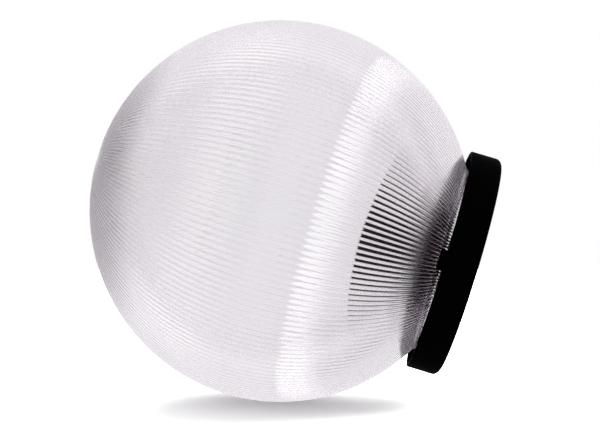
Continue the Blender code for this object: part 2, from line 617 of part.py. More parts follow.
def make_terminal_block(parent):
    block = box((BLOCK_WIDTH, BLOCK_DEPTH, BLOCK_HEIGHT),
                (0.0, BLOCK_DISTANCE, BLOCK_Z + BLOCK_HEIGHT / 2), BLOCK_EDGE)
    block = place("terminal_block", block, "grey polyamide", parent)
    head_z = BLOCK_TOP_Z - CLAMP_SCREW_SINK
    through = turned([(0.0, BLOCK_Z - OVERCUT), (SCREW_RADIUS + FIT, BLOCK_Z - OVERCUT),
                      (SCREW_RADIUS + FIT, BLOCK_TOP_Z + OVERCUT), (0.0, BLOCK_TOP_Z + OVERCUT)],
                     SCREW_SEGMENTS, closed=False)
    cut(block, place("block_screw_hole", through, at=(0.0, BLOCK_DISTANCE, 0.0)))
    fixing = screw(SCREW_RADIUS, CLAMP_SCREW_SINK / 2, SCREW_RADIUS, BLOCK_SCREW_LENGTH)
    place("terminal_block_screw", fixing, "zinc steel", parent, at=(0.0, BLOCK_DISTANCE, head_z))
    for side, pole in ((-1, "neutral"), (1, "live")):
        x = side * BLOCK_POLE_SPACING / 2
        bore = turned([(0.0, -BLOCK_DEPTH), (SLEEVE_RADIUS + FIT, -BLOCK_DEPTH),
                       (SLEEVE_RADIUS + FIT, BLOCK_DEPTH), (0.0, BLOCK_DEPTH)], SCREW_SEGMENTS, closed=False)
        sleeve_half = BLOCK_DEPTH / 2 - BLOCK_EDGE
        sleeve = turned([(SLEEVE_RADIUS, -sleeve_half), (SLEEVE_RADIUS, sleeve_half),
                         (SLEEVE_BORE, sleeve_half), (SLEEVE_BORE, -sleeve_half)], SCREW_SEGMENTS)
        lie_along_y(bore)
        lie_along_y(sleeve)
        at = (x, BLOCK_DISTANCE, SLEEVE_Z)
        cut(block, place(f"block_bore_{pole}", bore, at=at))
        place(f"terminal_sleeve_{pole}", sleeve, "brass", parent, at=at)
        for end, where in ((-1, "inner"), (1, "outer")):
            well = turned([(0.0, 0.0), (CLAMP_SCREW_RADIUS + FIT, 0.0),
                           (CLAMP_SCREW_RADIUS + FIT, BLOCK_HEIGHT), (0.0, BLOCK_HEIGHT)],
                          SCREW_SEGMENTS, closed=False)
            y = BLOCK_DISTANCE + end * CLAMP_SPACING / 2
            cut(block, place(f"block_clamp_well_{pole}_{where}", well, at=(x, y, SLEEVE_Z)))
            clamp_low = SLEEVE_Z + SLEEVE_RADIUS + FIT
            clamp = turned([(0.0, 0.0), (CLAMP_SCREW_RADIUS, 0.0), (CLAMP_SCREW_RADIUS, CLAMP_SCREW_LENGTH),
                            (0.0, CLAMP_SCREW_LENGTH)], SCREW_SEGMENTS, closed=False)
            place(f"clamp_screw_{pole}_{where}", clamp, "zinc steel", parent, at=(x, y, clamp_low))


def lie_along_y(shape):
    bmesh.ops.rotate(shape, verts=shape.verts, cent=(0, 0, 0), matrix=Matrix.Rotation(math.pi / 2, 3, "X"))


def smooth_route(knots, count):
    """Points on a smooth curve through the knots, evenly spaced in its parameter."""
    ends = [2 * knots[0] - knots[1]] + knots + [2 * knots[-1] - knots[-2]]
    route = []
    for step in range(count):
        along = step / (count - 1) * (len(knots) - 1)
        i = min(int(along), len(knots) - 2)
        t = along - i
        p0, p1, p2, p3 = ends[i:i + 4]
        bend = (2 * p0 - 5 * p1 + 4 * p2 - p3) * t * t + (3 * p1 - p0 - 3 * p2 + p3) * t**3
        route.append((2 * p1 + (p2 - p0) * t + bend) / 2)
    return route


def make_wire(name, route, radius, finish, parent):
    """A round wire along a route, with closed ends."""
    curve = bpy.data.curves.new(name, "CURVE")
    curve.dimensions = "3D"
    curve.bevel_depth = radius
    curve.bevel_resolution = 2
    curve.use_fill_caps = True
    spline = curve.splines.new("POLY")
    spline.points.add(len(route) - 1)
    for point, place_at in zip(spline.points, route):
        point.co = (*place_at, 1.0)
    curve.materials.append(finish_material(finish))
    wire = bpy.data.objects.new(name, curve)
    wire.parent = parent
    bpy.context.scene.collection.objects.link(wire)


def make_lead(name, pole_x, post_reach, post_azimuth, finish, parent):
    """A lead from the terminal block through the notch of the foot to its post."""
    post = Vector(polar_place(post_reach, post_azimuth))
    start_y = BLOCK_DISTANCE - BLOCK_DEPTH / 2 - FIT
    start = Vector((pole_x, start_y, SLEEVE_Z))
    end_z = INSERT_Z - POST_DROP / 2
    end = Vector((post.x, post.y + POST_RADIUS + FIT, end_z))
    leave = start + Vector((0.0, -2 * LEAD_RADIUS, 0.0))
    arrive = end + Vector((0.0, 3 * LEAD_RADIUS, 0.0))
    make_wire(name, smooth_route([start, leave, arrive, end], LEAD_POINTS), LEAD_RADIUS, finish, parent)


def make_lamp(parent):
    mouth = LAMP_CAP_MOUTH
    tip = [(0.0, LAMP_Z), (LAMP_TIP_RADIUS - LAMP_TIP_CHAMFER, LAMP_Z),
           (LAMP_TIP_RADIUS, LAMP_Z + LAMP_TIP_HEIGHT / 2),
           (LAMP_TIP_RADIUS, LAMP_Z + LAMP_TIP_HEIGHT), (0.0, LAMP_Z + LAMP_TIP_HEIGHT)]
    place("lamp_tip", turned(tip, LAMP_SEGMENTS // 2, closed=False), "solder", parent)
    insulator_top = CAP_Z + LAMP_CAP_WALL
    insulator = [(0.0, INSULATOR_Z), (LAMP_TIP_RADIUS, INSULATOR_Z), (mouth - FIT, CAP_Z - FIT),
                 (mouth - FIT, insulator_top), (0.0, insulator_top)]
    place("lamp_insulator", turned(insulator, LAMP_SEGMENTS, closed=False), "dark glass", parent)
    inner = LAMP_CAP_RADIUS - LAMP_CAP_WALL
    chamfer = (LAMP_CAP_RADIUS - mouth) / 3
    cap = [(mouth, CAP_Z), (LAMP_CAP_RADIUS - chamfer, CAP_Z), (LAMP_CAP_RADIUS, CAP_Z + chamfer),
           (LAMP_CAP_RADIUS, CAP_TOP_Z), (inner, CAP_TOP_Z), (inner, CAP_Z + chamfer),
           (inner - chamfer, CAP_Z + LAMP_CAP_WALL), (mouth, CAP_Z + LAMP_CAP_WALL)]
    place("lamp_cap", turned(cap, LAMP_SEGMENTS), "nickel", parent)
    place("lamp_bulb", turned(bulb_profile(), LAMP_SEGMENTS), "clear glass", parent)
    make_stem(parent)


def bulb_profile():
    """Section of the bulb: a plain neck in the cap, a flare and a round top."""
    widest = BULB_TOP_Z - LAMP_BULB_RADIUS
    profile = []
    for inset, forwards in ((0.0, True), (LAMP_BULB_WALL, False)):
        round_top = arc((0.0, widest), LAMP_BULB_RADIUS - inset, -LAMP_FLARE_ANGLE, 90, 6)[:-1]
        neck = BULB_NECK_RADIUS - inset
        flare_radius, flare_z = round_top[0]
        side = [(neck, BULB_Z), (neck, CAP_TOP_Z)]
        for along in (1 / 3, 2 / 3):
            side.append((neck + (flare_radius - neck) * along**2, CAP_TOP_Z + (flare_z - CAP_TOP_Z) * along))
        half = side + round_top + [(0.0, BULB_TOP_Z - inset)]
        profile += half if forwards else half[::-1]
    return profile


def make_stem(parent):
    """The glass stem in the neck of the bulb, and the wire that it carries."""
    flange_top = BULB_Z + STEM_FLANGE_THICKNESS
    button_z = STEM_TOP_Z - STEM_BUTTON_HEIGHT
    stem = [(0.0, BULB_Z), (STEM_FLANGE_RADIUS, BULB_Z), (STEM_FLANGE_RADIUS, flange_top),
            (STEM_TUBE_RADIUS, flange_top + STEM_TUBE_RADIUS), (STEM_TUBE_RADIUS, STEM_TUBE_Z),
            (STEM_ROD_RADIUS, STEM_TUBE_Z), (STEM_ROD_RADIUS, button_z - STEM_ROD_RADIUS),
            (STEM_BUTTON_RADIUS, button_z), (STEM_BUTTON_RADIUS, STEM_TOP_Z), (0.0, STEM_TOP_Z)]
    place("lamp_stem", turned(stem, LAMP_SEGMENTS // 2, closed=False), "clear glass", parent)
    foot = (STEM_TUBE_RADIUS + STEM_ROD_RADIUS) / 2
    half = [(foot, STEM_TUBE_Z + FIT), (foot, STEM_TUBE_Z + FILAMENT_BEND),
            (FILAMENT_REACH, FILAMENT_Z - FILAMENT_BEND),
            (FILAMENT_REACH - FILAMENT_BEND / 3, FILAMENT_Z - FILAMENT_BEND / 3),
            (FILAMENT_REACH - FILAMENT_BEND, FILAMENT_Z)]
    route = [Vector((0.0, -y, z)) for y, z in half] + [Vector((0.0, y, z)) for y, z in reversed(half)]
    make_wire("lamp_filament", route, FILAMENT_WIRE_RADIUS, "tungsten", parent)


def main():
    clear_scene()
    fitting = frame_axis("fitting")
    globe_axis = frame_axis("globe_axis")
    lamp_axis = frame_axis("lamp_axis")
    make_base(fitting)
    make_grommet(fitting)
    make_lampholder(fitting)
    make_terminal_block(fitting)
    pole_x = BLOCK_POLE_SPACING / 2
    make_lead("lead_live", pole_x, LIVE_POST_REACH, LIVE_POST_AZIMUTH, "brown insulation", fitting)
    make_lead("lead_neutral", -pole_x, NEUTRAL_POST_REACH, NEUTRAL_POST_AZIMUTH, "blue insulation", fitting)
    make_seal(globe_axis)
    make_globe(globe_axis)
    make_lamp(lamp_axis)


main()
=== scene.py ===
"""Looks of a globe luminaire with a clear prismatic shade on a shallow black base.

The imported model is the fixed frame. Each piece is built where its node lies, rides on the node's body
and stands for the node. Lengths are in metres, with +Z from the base towards the pole of the globe.
"""

import json
import math

import bmesh
import bpy
from mathutils import Matrix, Vector


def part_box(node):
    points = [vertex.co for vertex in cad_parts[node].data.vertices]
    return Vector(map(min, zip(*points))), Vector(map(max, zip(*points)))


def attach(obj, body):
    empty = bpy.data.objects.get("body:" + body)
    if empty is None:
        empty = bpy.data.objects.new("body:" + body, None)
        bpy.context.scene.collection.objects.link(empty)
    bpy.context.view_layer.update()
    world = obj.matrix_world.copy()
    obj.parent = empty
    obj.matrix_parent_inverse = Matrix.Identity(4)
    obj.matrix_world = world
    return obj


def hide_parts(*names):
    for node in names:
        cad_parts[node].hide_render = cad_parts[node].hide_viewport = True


bl_info = {
    "name": "Prismatic globe light",
    "version": (1, 0, 0),
    "blender": (4, 5, 0),
    "location": "View3D > Sidebar > Globe light",
    "description": "Builds the finished look of a globe luminaire on its packed model",
    "category": "Object",
}

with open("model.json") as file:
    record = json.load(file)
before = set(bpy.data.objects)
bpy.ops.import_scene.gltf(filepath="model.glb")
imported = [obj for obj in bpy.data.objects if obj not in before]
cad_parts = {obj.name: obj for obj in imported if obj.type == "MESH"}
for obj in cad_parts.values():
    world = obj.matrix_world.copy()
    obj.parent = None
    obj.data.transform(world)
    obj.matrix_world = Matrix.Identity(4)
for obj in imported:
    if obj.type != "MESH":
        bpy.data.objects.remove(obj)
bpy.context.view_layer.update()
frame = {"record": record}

RECORD = frame["record"]
BODY_OF = {node: body for body, nodes in RECORD["behaviour"]["bodies"].items() for node in nodes}

GLOBE_LOW, GLOBE_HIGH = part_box("globe")
GLOBE_RADIUS = GLOBE_HIGH.x
GLOBE_CENTRE = Vector((0.0, 0.0, GLOBE_HIGH.z - GLOBE_RADIUS))
BASE_LOW, BASE_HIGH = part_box("base")
BASE_RADIUS = BASE_HIGH.x

FIT = 0.0003                  # gap between pieces that touch
OVERCUT = 0.001               # how far a cutter passes the face that it opens
SINK = 0.0005                 # how far a fused shape reaches into what carries it
PILOT_RADIUS = 0.0019         # of the holes for the fixing screws
SCREW_PITCH = 0.0011          # of the fixing screws
LUG_COUNT = 3
LUG_AZIMUTH = math.radians(-90)
THREAD_PITCH = 0.003629       # of a 27 mm screw cap
SHARP_ANGLE = math.radians(28)
IMAGE_SIZE = (600, 428)       # of the photograph, in pixels
GLOBE_PIXEL = (280.5, 211.0)  # where the photograph shows the centre of the globe


def length(name, description, default):
    return bpy.props.FloatProperty(name=name, description=description, default=default, min=0.0,
                                   precision=4, subtype="DISTANCE", unit="LENGTH")


def angle(name, description, degrees):
    return bpy.props.FloatProperty(name=name, description=description, default=math.radians(degrees),
                                   subtype="ANGLE", unit="ROTATION")


def colour(name, description, default):
    return bpy.props.FloatVectorProperty(name=name, description=description, default=default, size=3,
                                         min=0.0, max=1.0, subtype="COLOR")


def factor(name, description, default):
    return bpy.props.FloatProperty(name=name, description=description, default=default, min=0.0, max=1.0,
                                   subtype="FACTOR")


def level(name, description, default):
    return bpy.props.FloatProperty(name=name, description=description, default=default, min=0.0)


def count(name, description, default):
    return bpy.props.IntProperty(name=name, description=description, default=default, min=3)


class ShadeSettings(bpy.types.PropertyGroup):
    """Sizes and finish of the clear globe."""

    prisms: count("Prisms", "Prisms round the globe", 200)
    prism_slope: angle("Prism slope", "Slope of a rounded prism to the sphere at its foot", 35)
    groove: factor("Groove", "Share of the pitch that the narrow groove between two prisms takes", 0.07)
    groove_slope: angle("Groove slope", "Slope of the narrow groove's walls to the sphere at its bottom", 76)
    wall: length("Wall", "Wall from the deepest valley to the smooth inside", 0.0030)
    neck_radius: length("Neck radius", "Outside of the plain neck", 0.0490)
    neck_wall: length("Neck wall", "Wall of the neck", 0.0028)
    shoulder: length("Shoulder", "Step from the prism ends in to the neck", 0.0007)
    tint: colour("Tint", "Tint of the faces of the clear acrylic", (0.985, 0.972, 0.987))
    body_tint: colour("Body tint", "Tint that light takes inside the acrylic", (0.75, 0.62, 0.77))
    density: level("Density", "Light lost inside the acrylic, per metre", 14.0)
    roughness: factor("Roughness", "Roughness of the moulded acrylic", 0.02)


class BaseSettings(bpy.types.PropertyGroup):
    """Sizes and finish of the moulded base."""

    rim_z: length("Rim", "Height of the rim above the back", 0.0165)
    wall: length("Wall", "Wall of the rim", 0.0026)
    floor: length("Floor", "Thickness of the floor", 0.0030)
    colour: colour("Colour", "Colour of the black plastic", (0.0010, 0.0010, 0.0014))
    roughness: factor("Roughness", "Roughness of the black plastic", 0.5)


class HolderSettings(bpy.types.PropertyGroup):
    """Finish of the lampholder, its terminals and its leads."""

    bakelite: colour("Bakelite", "Colour of the dark moulding", (0.050, 0.018, 0.017))
    ceramic: colour("Ceramic", "Colour of the insert", (0.80, 0.78, 0.74))
    nickel: colour("Nickel", "Colour of the plated shells", (0.66, 0.64, 0.60))
    brass: colour("Brass", "Colour of the brass pieces", (0.72, 0.52, 0.24))
    steel: colour("Steel", "Colour of the zinc plated screws", (0.55, 0.56, 0.58))
    polyamide: colour("Polyamide", "Colour of the terminal block", (0.09, 0.09, 0.095))
    live: colour("Live", "Colour of the live lead", (0.16, 0.055, 0.025))
    neutral: colour("Neutral", "Colour of the neutral lead", (0.025, 0.12, 0.36))


class RubberSettings(bpy.types.PropertyGroup):
    """Sizes and finish of the seal and the grommet."""

    seal_width: length("Seal width", "Width of the flat seal under the neck", 0.0036)
    lip: length("Lip", "Height of the sealing lips", 0.0003)
    colour: colour("Colour", "Colour of the black rubber", (0.012, 0.012, 0.013))
    roughness: factor("Roughness", "Roughness of the black rubber", 0.7)


class LampSettings(bpy.types.PropertyGroup):
    """Finish of the lamp."""

    glass: colour("Glass", "Tint of the clear bulb and stem", (0.985, 0.99, 0.99))
    insulator: colour("Insulator", "Colour of the dark glass", (0.025, 0.018, 0.032))
    solder: colour("Solder", "Colour of the solder tip", (0.60, 0.60, 0.61))
    tungsten: colour("Tungsten", "Colour of the filament and its wires", (0.32, 0.31, 0.30))


class StageSettings(bpy.types.PropertyGroup):
    """Camera, floor and light."""

    distance: length("Camera distance", "From the camera to the centre of the globe", 0.70)
    tilt: angle("Tilt", "Turn of the base towards the camera", 3.9)
    roll: angle("Roll", "Fall of the axis towards the base in the picture", 16.8)
    focal_length: bpy.props.FloatProperty(name="Focal length", description="On a 36 mm wide sensor",
                                          default=79.4, min=1.0, subtype="DISTANCE_CAMERA")
    backdrop: factor("Backdrop", "Level of the white backdrop in glass and metal", 0.92)
    room_depth: factor("Room", "How much dimmer the room is to the right of the camera", 0.97)
    front_depth: factor("Front", "How much dimmer the room is behind the camera", 0.27)
    flag_depth: factor("Flag", "How much dimmer the grey flag on the left is", 0.72)
    flag_turn: angle("Flag turn", "How far the flag's middle lies behind the globe's left side", 42)
    flag_rise: angle("Flag rise", "How far the flag's middle lies above the globe's middle", 7)
    plain_light: factor("Plain light", "Level of the even light on surfaces that aren't clear", 0.36)
    strip_light: level("Strip light", "Level of the long soft box on the right", 5.7)
    window_light: level("Window light", "Level of the soft window on the left", 2.7)
    bounces: count("Bounces", "Turns of light inside the clear walls", 32)
    lamp_power: bpy.props.FloatProperty(name="Lamp", description="Power of the wide soft box overhead",
                                        default=18.0, min=0.0, subtype="POWER")


class GlobeLightSettings(bpy.types.PropertyGroup):
    """All settings of the globe light."""

    shade: bpy.props.PointerProperty(type=ShadeSettings)
    base: bpy.props.PointerProperty(type=BaseSettings)
    rubber: bpy.props.PointerProperty(type=RubberSettings)
    holder: bpy.props.PointerProperty(type=HolderSettings)
    lamp: bpy.props.PointerProperty(type=LampSettings)
    stage: bpy.props.PointerProperty(type=StageSettings)


# Shapes


def arc(centre, radius, start, stop, steps):
    """Points (r, z) of an arc, with angles in degrees from +r towards +z."""
    angles = [math.radians(start + (stop - start) * i / steps) for i in range(steps + 1)]
    return [(centre[0] + radius * math.cos(a), centre[1] + radius * math.sin(a)) for a in angles]


def ring(shape, radius, height, segments):
    """One ring of points about Z. The radius may be a function of the angle."""
    if radius == 0.0:
        return [shape.verts.new((0.0, 0.0, height))]
    points = []
    for i in range(segments):
        turn = LUG_AZIMUTH + 2 * math.pi * i / segments
        reach = radius(turn) if callable(radius) else radius
        points.append(shape.verts.new((reach * math.cos(turn), reach * math.sin(turn), height)))
    return points


def skin(shape, lower, upper):
    """Faces between two rings of the same count. Either may be a single point on the axis."""
    size = max(len(lower), len(upper))
    if size == 1:
        return
    for i in range(size):
        j = (i + 1) % size
        corners = []
        for points, at in ((lower, i), (lower, j), (upper, j), (upper, i)):
            point = points[at % len(points)]
            if point not in corners:
                corners.append(point)
        shape.faces.new(corners)


def turned(profile, segments=96, closed=True):
    """A body turned about Z from points (r, z). An open profile ends on the axis."""
    shape = bmesh.new()
    rings = [ring(shape, radius, height, segments) for radius, height in profile]
    if closed:
        rings.append(rings[0])
    for lower, upper in zip(rings, rings[1:]):
        skin(shape, lower, upper)
    return shape


def lathe(profile, edge, segments):
    """A body turned from a profile that ends on the axis, with its corners rounded."""
    return turned(eased(profile, edge, closed=False), segments, closed=False)


def eased(profile, edge, closed=True, steps=3):
    """The profile with its corners off the axis rounded."""
    points = []
    for i, corner in enumerate(profile):
        at_end = not closed and i in (0, len(profile) - 1)
        if at_end or corner[0] == 0.0:
            points.append(corner)
            continue
        here = Vector(corner)
        back = Vector(profile[i - 1]) - here
        ahead = Vector(profile[(i + 1) % len(profile)]) - here
        reach = min(edge, 0.45 * back.length, 0.45 * ahead.length)
        start, end = here + back.normalized() * reach, here + ahead.normalized() * reach
        for step in range(steps + 1):
            t = step / steps
            points.append(tuple(start * (1 - t) ** 2 + here * 2 * t * (1 - t) + end * t**2))
    return points


def thread_rows(mean, depth, pitch, low, high):
    """Profile rows of a rolled right-hand thread that runs out over one pitch at each end."""
    steps = max(4, round((high - low) / pitch * 12))
    rows = []
    for i in range(steps + 1):
        height = low + (high - low) * i / steps
        share = min(1.0, (height - low) / pitch, (high - height) / pitch)
        swing = depth * share

        def radius(turn, swing=swing, height=height):
            return mean + swing * math.cos(2 * math.pi * height / pitch - turn)

        rows.append((radius, height))
    return rows


def smooth_route(knots, points):
    """Points on a smooth curve through the knots, evenly spaced in its parameter."""
    ends = [2 * knots[0] - knots[1], *knots, 2 * knots[-1] - knots[-2]]
    route = []
    for step in range(points):
        along = step / (points - 1) * (len(knots) - 1)
        i = min(int(along), len(knots) - 2)
        t = along - i
        p0, p1, p2, p3 = ends[i:i + 4]
        bend = (2 * p0 - 5 * p1 + 4 * p2 - p3) * t * t + (3 * p1 - p0 - 3 * p2 + p3) * t**3
        route.append((2 * p1 + (p2 - p0) * t + bend) / 2)
    return route


def tube(route, radius, sides=16):
    """A round bar along a route, with closed ends."""
    shape = bmesh.new()
    turns = [2 * math.pi * k / sides for k in range(sides)]
    rings = []
    side = None
    for i, point in enumerate(route):
        ahead = (route[min(i + 1, len(route) - 1)] - route[max(i - 1, 0)]).normalized()
        side = side or ahead.orthogonal()
        side = (side - ahead * side.dot(ahead)).normalized()
        across = ahead.cross(side)
        spokes = [radius * (math.cos(a) * side + math.sin(a) * across) for a in turns]
        rings.append([shape.verts.new(point + spoke) for spoke in spokes])
    for lower, upper in zip(rings, rings[1:]):
        skin(shape, lower, upper)
    shape.faces.new(rings[0])
    shape.faces.new(rings[-1])
    return shape


def prism(outline, low, high):
    """A straight body from a closed outline of points (x, y)."""
    shape = bmesh.new()
    face = shape.faces.new([shape.verts.new((x, y, low)) for x, y in outline])
    grown = bmesh.ops.extrude_face_region(shape, geom=[face])["geom"]
    lifted = [part for part in grown if isinstance(part, bmesh.types.BMVert)]
    bmesh.ops.translate(shape, verts=lifted, vec=(0, 0, high - low))
    return shape


def box(size, centre, edge=0.0, steps=2):
    shape = bmesh.new()
    made = bmesh.ops.create_cube(shape, size=1.0)
    bmesh.ops.scale(shape, verts=made["verts"], vec=size)
    bmesh.ops.translate(shape, verts=made["verts"], vec=centre)
    if edge:
        bmesh.ops.bevel(shape, geom=shape.edges[:], offset=edge, segments=steps, profile=0.5,
                        affect="EDGES")
    return shape


def ring_sector(inner, outer, low, high, width, azimuth, edge=0.0, steps=10):
    """A block bent round the axis, its width measured along its outer side."""
    half = width / outer / 2
    angles = [azimuth - half + 2 * half * i / steps for i in range(steps + 1)]
    outline = [(outer * math.cos(a), outer * math.sin(a)) for a in angles]
    outline += [(inner * math.cos(a), inner * math.sin(a)) for a in reversed(angles)]
    shape = prism(outline, low, high)
    if edge:
        bmesh.ops.recalc_face_normals(shape, faces=shape.faces)
        sharp = [e for e in shape.edges if e.calc_face_angle(0.0) > SHARP_ANGLE]
        bmesh.ops.bevel(shape, geom=sharp, offset=edge, segments=2, profile=0.5, affect="EDGES")
    return shape


def at_each_lug(maker, turn=0.0):
    """The shapes that maker gives for the azimuth of each lug, in one mesh."""
    shape = bmesh.new()
    for i in range(LUG_COUNT):
        add_shape(shape, maker(LUG_AZIMUTH + turn + 2 * math.pi * i / LUG_COUNT))
    return shape


def add_shape(shape, other):
    scratch = bpy.data.meshes.new("scratch")
    other.to_mesh(scratch)
    other.free()
    shape.from_mesh(scratch)
    bpy.data.meshes.remove(scratch)


def moved(shape, at=(0.0, 0.0, 0.0), turn=None):
    if turn is not None:
        bmesh.ops.rotate(shape, verts=shape.verts, cent=(0, 0, 0), matrix=turn)
    bmesh.ops.translate(shape, verts=shape.verts, vec=at)
    return shape


def middle(node):
    """The middle of a node's box, seen along Z."""
    low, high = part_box(node)
    return (low.x + high.x) / 2, (low.y + high.y) / 2


def to_object(name, shape):
    bmesh.ops.recalc_face_normals(shape, faces=shape.faces)
    mesh = bpy.data.meshes.new(name)
    shape.to_mesh(mesh)
    shape.free()
    obj = bpy.data.objects.new(name, mesh)
    bpy.context.scene.collection.objects.link(obj)
    return obj


def carve(obj, fused=(), cut=()):
    """The object with other shapes fused to it and cut from it, without faces of no area."""
    no_length = 1e-7
    tools = []
    for operation, shapes in (("UNION", fused), ("DIFFERENCE", cut)):
        for shape in shapes:
            tool = to_object(f"{obj.name}_tool_{len(tools)}", shape)
            modifier = obj.modifiers.new(tool.name, "BOOLEAN")
            modifier.operation = operation
            modifier.solver = "MANIFOLD"
            modifier.object = tool
            tools.append(tool)
    evaluated = obj.evaluated_get(bpy.context.evaluated_depsgraph_get())
    carved = bpy.data.meshes.new_from_object(evaluated)
    shape = bmesh.new()
    shape.from_mesh(carved)
    many_sided = [face for face in shape.faces if len(face.verts) > 4]
    bmesh.ops.triangulate(shape, faces=many_sided, quad_method="BEAUTY", ngon_method="BEAUTY")
    bmesh.ops.dissolve_degenerate(shape, edges=shape.edges, dist=no_length)
    shape.to_mesh(carved)
    shape.free()
    obj.modifiers.clear()
    obj.data = carved
    for tool in tools:
        bpy.data.objects.remove(tool, do_unlink=True)
    return obj


def stand_for(piece, node, material):
    """Finishes a piece: shading, material, and the node whose place and body it takes."""
    piece.data.materials.clear()
    piece.data.materials.append(material)
    piece.data.shade_smooth()
    piece.data.set_sharp_from_angle(angle=SHARP_ANGLE)
    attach(piece, BODY_OF[node])
    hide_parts(node)
    return piece


def build(name, node, shape, material, fused=(), cut=()):
    piece = to_object(name, shape)
    if fused or cut:
        carve(piece, fused, cut)
    return stand_for(piece, node, material)


# Materials


def add(tree, kind, inputs=None, **settings):
    """A node with its settings, and its inputs set to values or linked to sockets."""
    node = tree.nodes.new(kind)
    for name, value in settings.items():
        setattr(node, name, value)
    for name, value in (inputs or {}).items():
        if isinstance(value, bpy.types.NodeSocket):
            tree.links.new(value, node.inputs[name])
        else:
            node.inputs[name].default_value = value
    return node


def noise(tree, vector, scale, detail=3.0):
    return add(tree, "ShaderNodeTexNoise",
               {"Vector": vector, "Scale": scale, "Detail": detail}).outputs["Fac"]


def spread(tree, value, low, high):
    """A 0 to 1 value spread over a range."""
    return add(tree, "ShaderNodeMapRange", {"Value": value, "To Min": low, "To Max": high}).outputs["Result"]


def combine(tree, operation, *values):
    """The values joined one after another by an operation of a Math node."""
    result = values[0]
    for value in values[1:]:
        result = add(tree, "ShaderNodeMath", {0: result, 1: value}, operation=operation).outputs[0]
    return result


def scaled_sum(tree, value, scale, start):
    """The value times a scale, on top of a start."""
    return add(tree, "ShaderNodeMath", {0: value, 1: scale, 2: start}, operation="MULTIPLY_ADD").outputs[0]


def surface_group(name, inputs):
    """A group with float inputs that gives a surface its look, and its two end nodes."""
    tree = bpy.data.node_groups.new(name, "ShaderNodeTree")
    tree.interface.new_socket("Colour", in_out="INPUT", socket_type="NodeSocketColor")
    for socket_name, default in inputs.items():
        socket = tree.interface.new_socket(socket_name, in_out="INPUT", socket_type="NodeSocketFloat")
        socket.default_value = default
    for socket_name, kind in (("Colour", "Color"), ("Roughness", "Float"), ("Height", "Float")):
        tree.interface.new_socket(socket_name, in_out="OUTPUT", socket_type=f"NodeSocket{kind}")
    return tree, tree.nodes.new("NodeGroupInput"), tree.nodes.new("NodeGroupOutput")


def end_surface(tree, start, end, tone, swing, height):
    """Ends a surface group: its colour times the tone, and its roughness changed by the swing."""
    toned = add(tree, "ShaderNodeVectorMath", {0: start.outputs["Colour"], "Scale": tone}, operation="SCALE")
    rough = scaled_sum(tree, swing, start.outputs["Roughness change"], start.outputs["Roughness"])
    tree.links.new(toned.outputs["Vector"], end.inputs["Colour"])
    tree.links.new(rough, end.inputs["Roughness"])
    tree.links.new(height, end.inputs["Height"])
    return tree


def moulded_grain():
    """Fine grain and slow change of tone, as on a moulded surface."""
    found = bpy.data.node_groups.get("Moulded grain")
    if found:
        return found
    tree, start, end = surface_group(
        "Moulded grain",
        {"Tone change": 0.2, "Grain scale": 1500.0, "Roughness": 0.5, "Roughness change": 0.1})
    place = add(tree, "ShaderNodeTexCoord").outputs["Object"]
    grain = noise(tree, place, start.outputs["Grain scale"], 2.0)
    swing = combine(tree, "ADD", noise(tree, place, 45.0, 4.0), -0.5)
    tone = scaled_sum(tree, swing, start.outputs["Tone change"], 1.0)
    return end_surface(tree, start, end, tone, swing, grain)


def turned_marks():
    """Fine rings round the axis, as on a drawn or turned metal piece."""
    found = bpy.data.node_groups.get("Turned marks")
    if found:
        return found
    tree, start, end = surface_group(
        "Turned marks", {"Line scale": 3000.0, "Roughness": 0.3, "Roughness change": 0.15})
    place = add(tree, "ShaderNodeTexCoord").outputs["Object"]
    stretched = add(tree, "ShaderNodeVectorMath", {0: place, 1: (0.02, 0.02, 1.0)}, operation="MULTIPLY")
    lines = noise(tree, stretched.outputs["Vector"], start.outputs["Line scale"], 2.0)
    stain = noise(tree, place, 220.0, 4.0)
    swing = combine(tree, "ADD", lines, stain, -1.0)
    return end_surface(tree, start, end, spread(tree, stain, 0.8, 1.15), swing, lines)


def new_material(name):
    material = bpy.data.materials.new(name)
    material.use_nodes = True
    return material, material.node_tree, material.node_tree.nodes["Principled BSDF"]


def grouped_material(name, group, inputs, bump, relief):
    """A material whose colour, roughness and relief come from a surface group."""
    material, tree, shader = new_material(name)
    surface = add(tree, "ShaderNodeGroup", inputs, node_tree=group).outputs
    tree.links.new(surface["Colour"], shader.inputs["Base Color"])
    tree.links.new(surface["Roughness"], shader.inputs["Roughness"])
    height = {"Height": surface["Height"], "Strength": bump, "Distance": relief}
    tree.links.new(add(tree, "ShaderNodeBump", height).outputs["Normal"], shader.inputs["Normal"])
    return material, shader


def moulded(name, tint, roughness, tone_change=0.25, grain=1500.0, bump=0.15, specular=0.5, coat=0.0):
    """A moulded plastic, rubber or ceramic."""
    found = bpy.data.materials.get(name)
    if found:
        return found
    inputs = {"Colour": (*tint, 1.0), "Tone change": tone_change, "Grain scale": grain,
              "Roughness": roughness, "Roughness change": roughness / 3}
    material, shader = grouped_material(name, moulded_grain(), inputs, bump, relief=0.0002)
    shader.inputs["Specular IOR Level"].default_value = specular
    shader.inputs["Coat Weight"].default_value = coat
    return material


def metal(name, tint, roughness, lines=3000.0, bump=0.08):
    """A plated or bare metal."""
    found = bpy.data.materials.get(name)
    if found:
        return found
    inputs = {"Colour": (*tint, 1.0), "Line scale": lines, "Roughness": roughness,
              "Roughness change": roughness / 2}
    material, shader = grouped_material(name, turned_marks(), inputs, bump, relief=0.0001)
    shader.inputs["Metallic"].default_value = 1.0
    return material


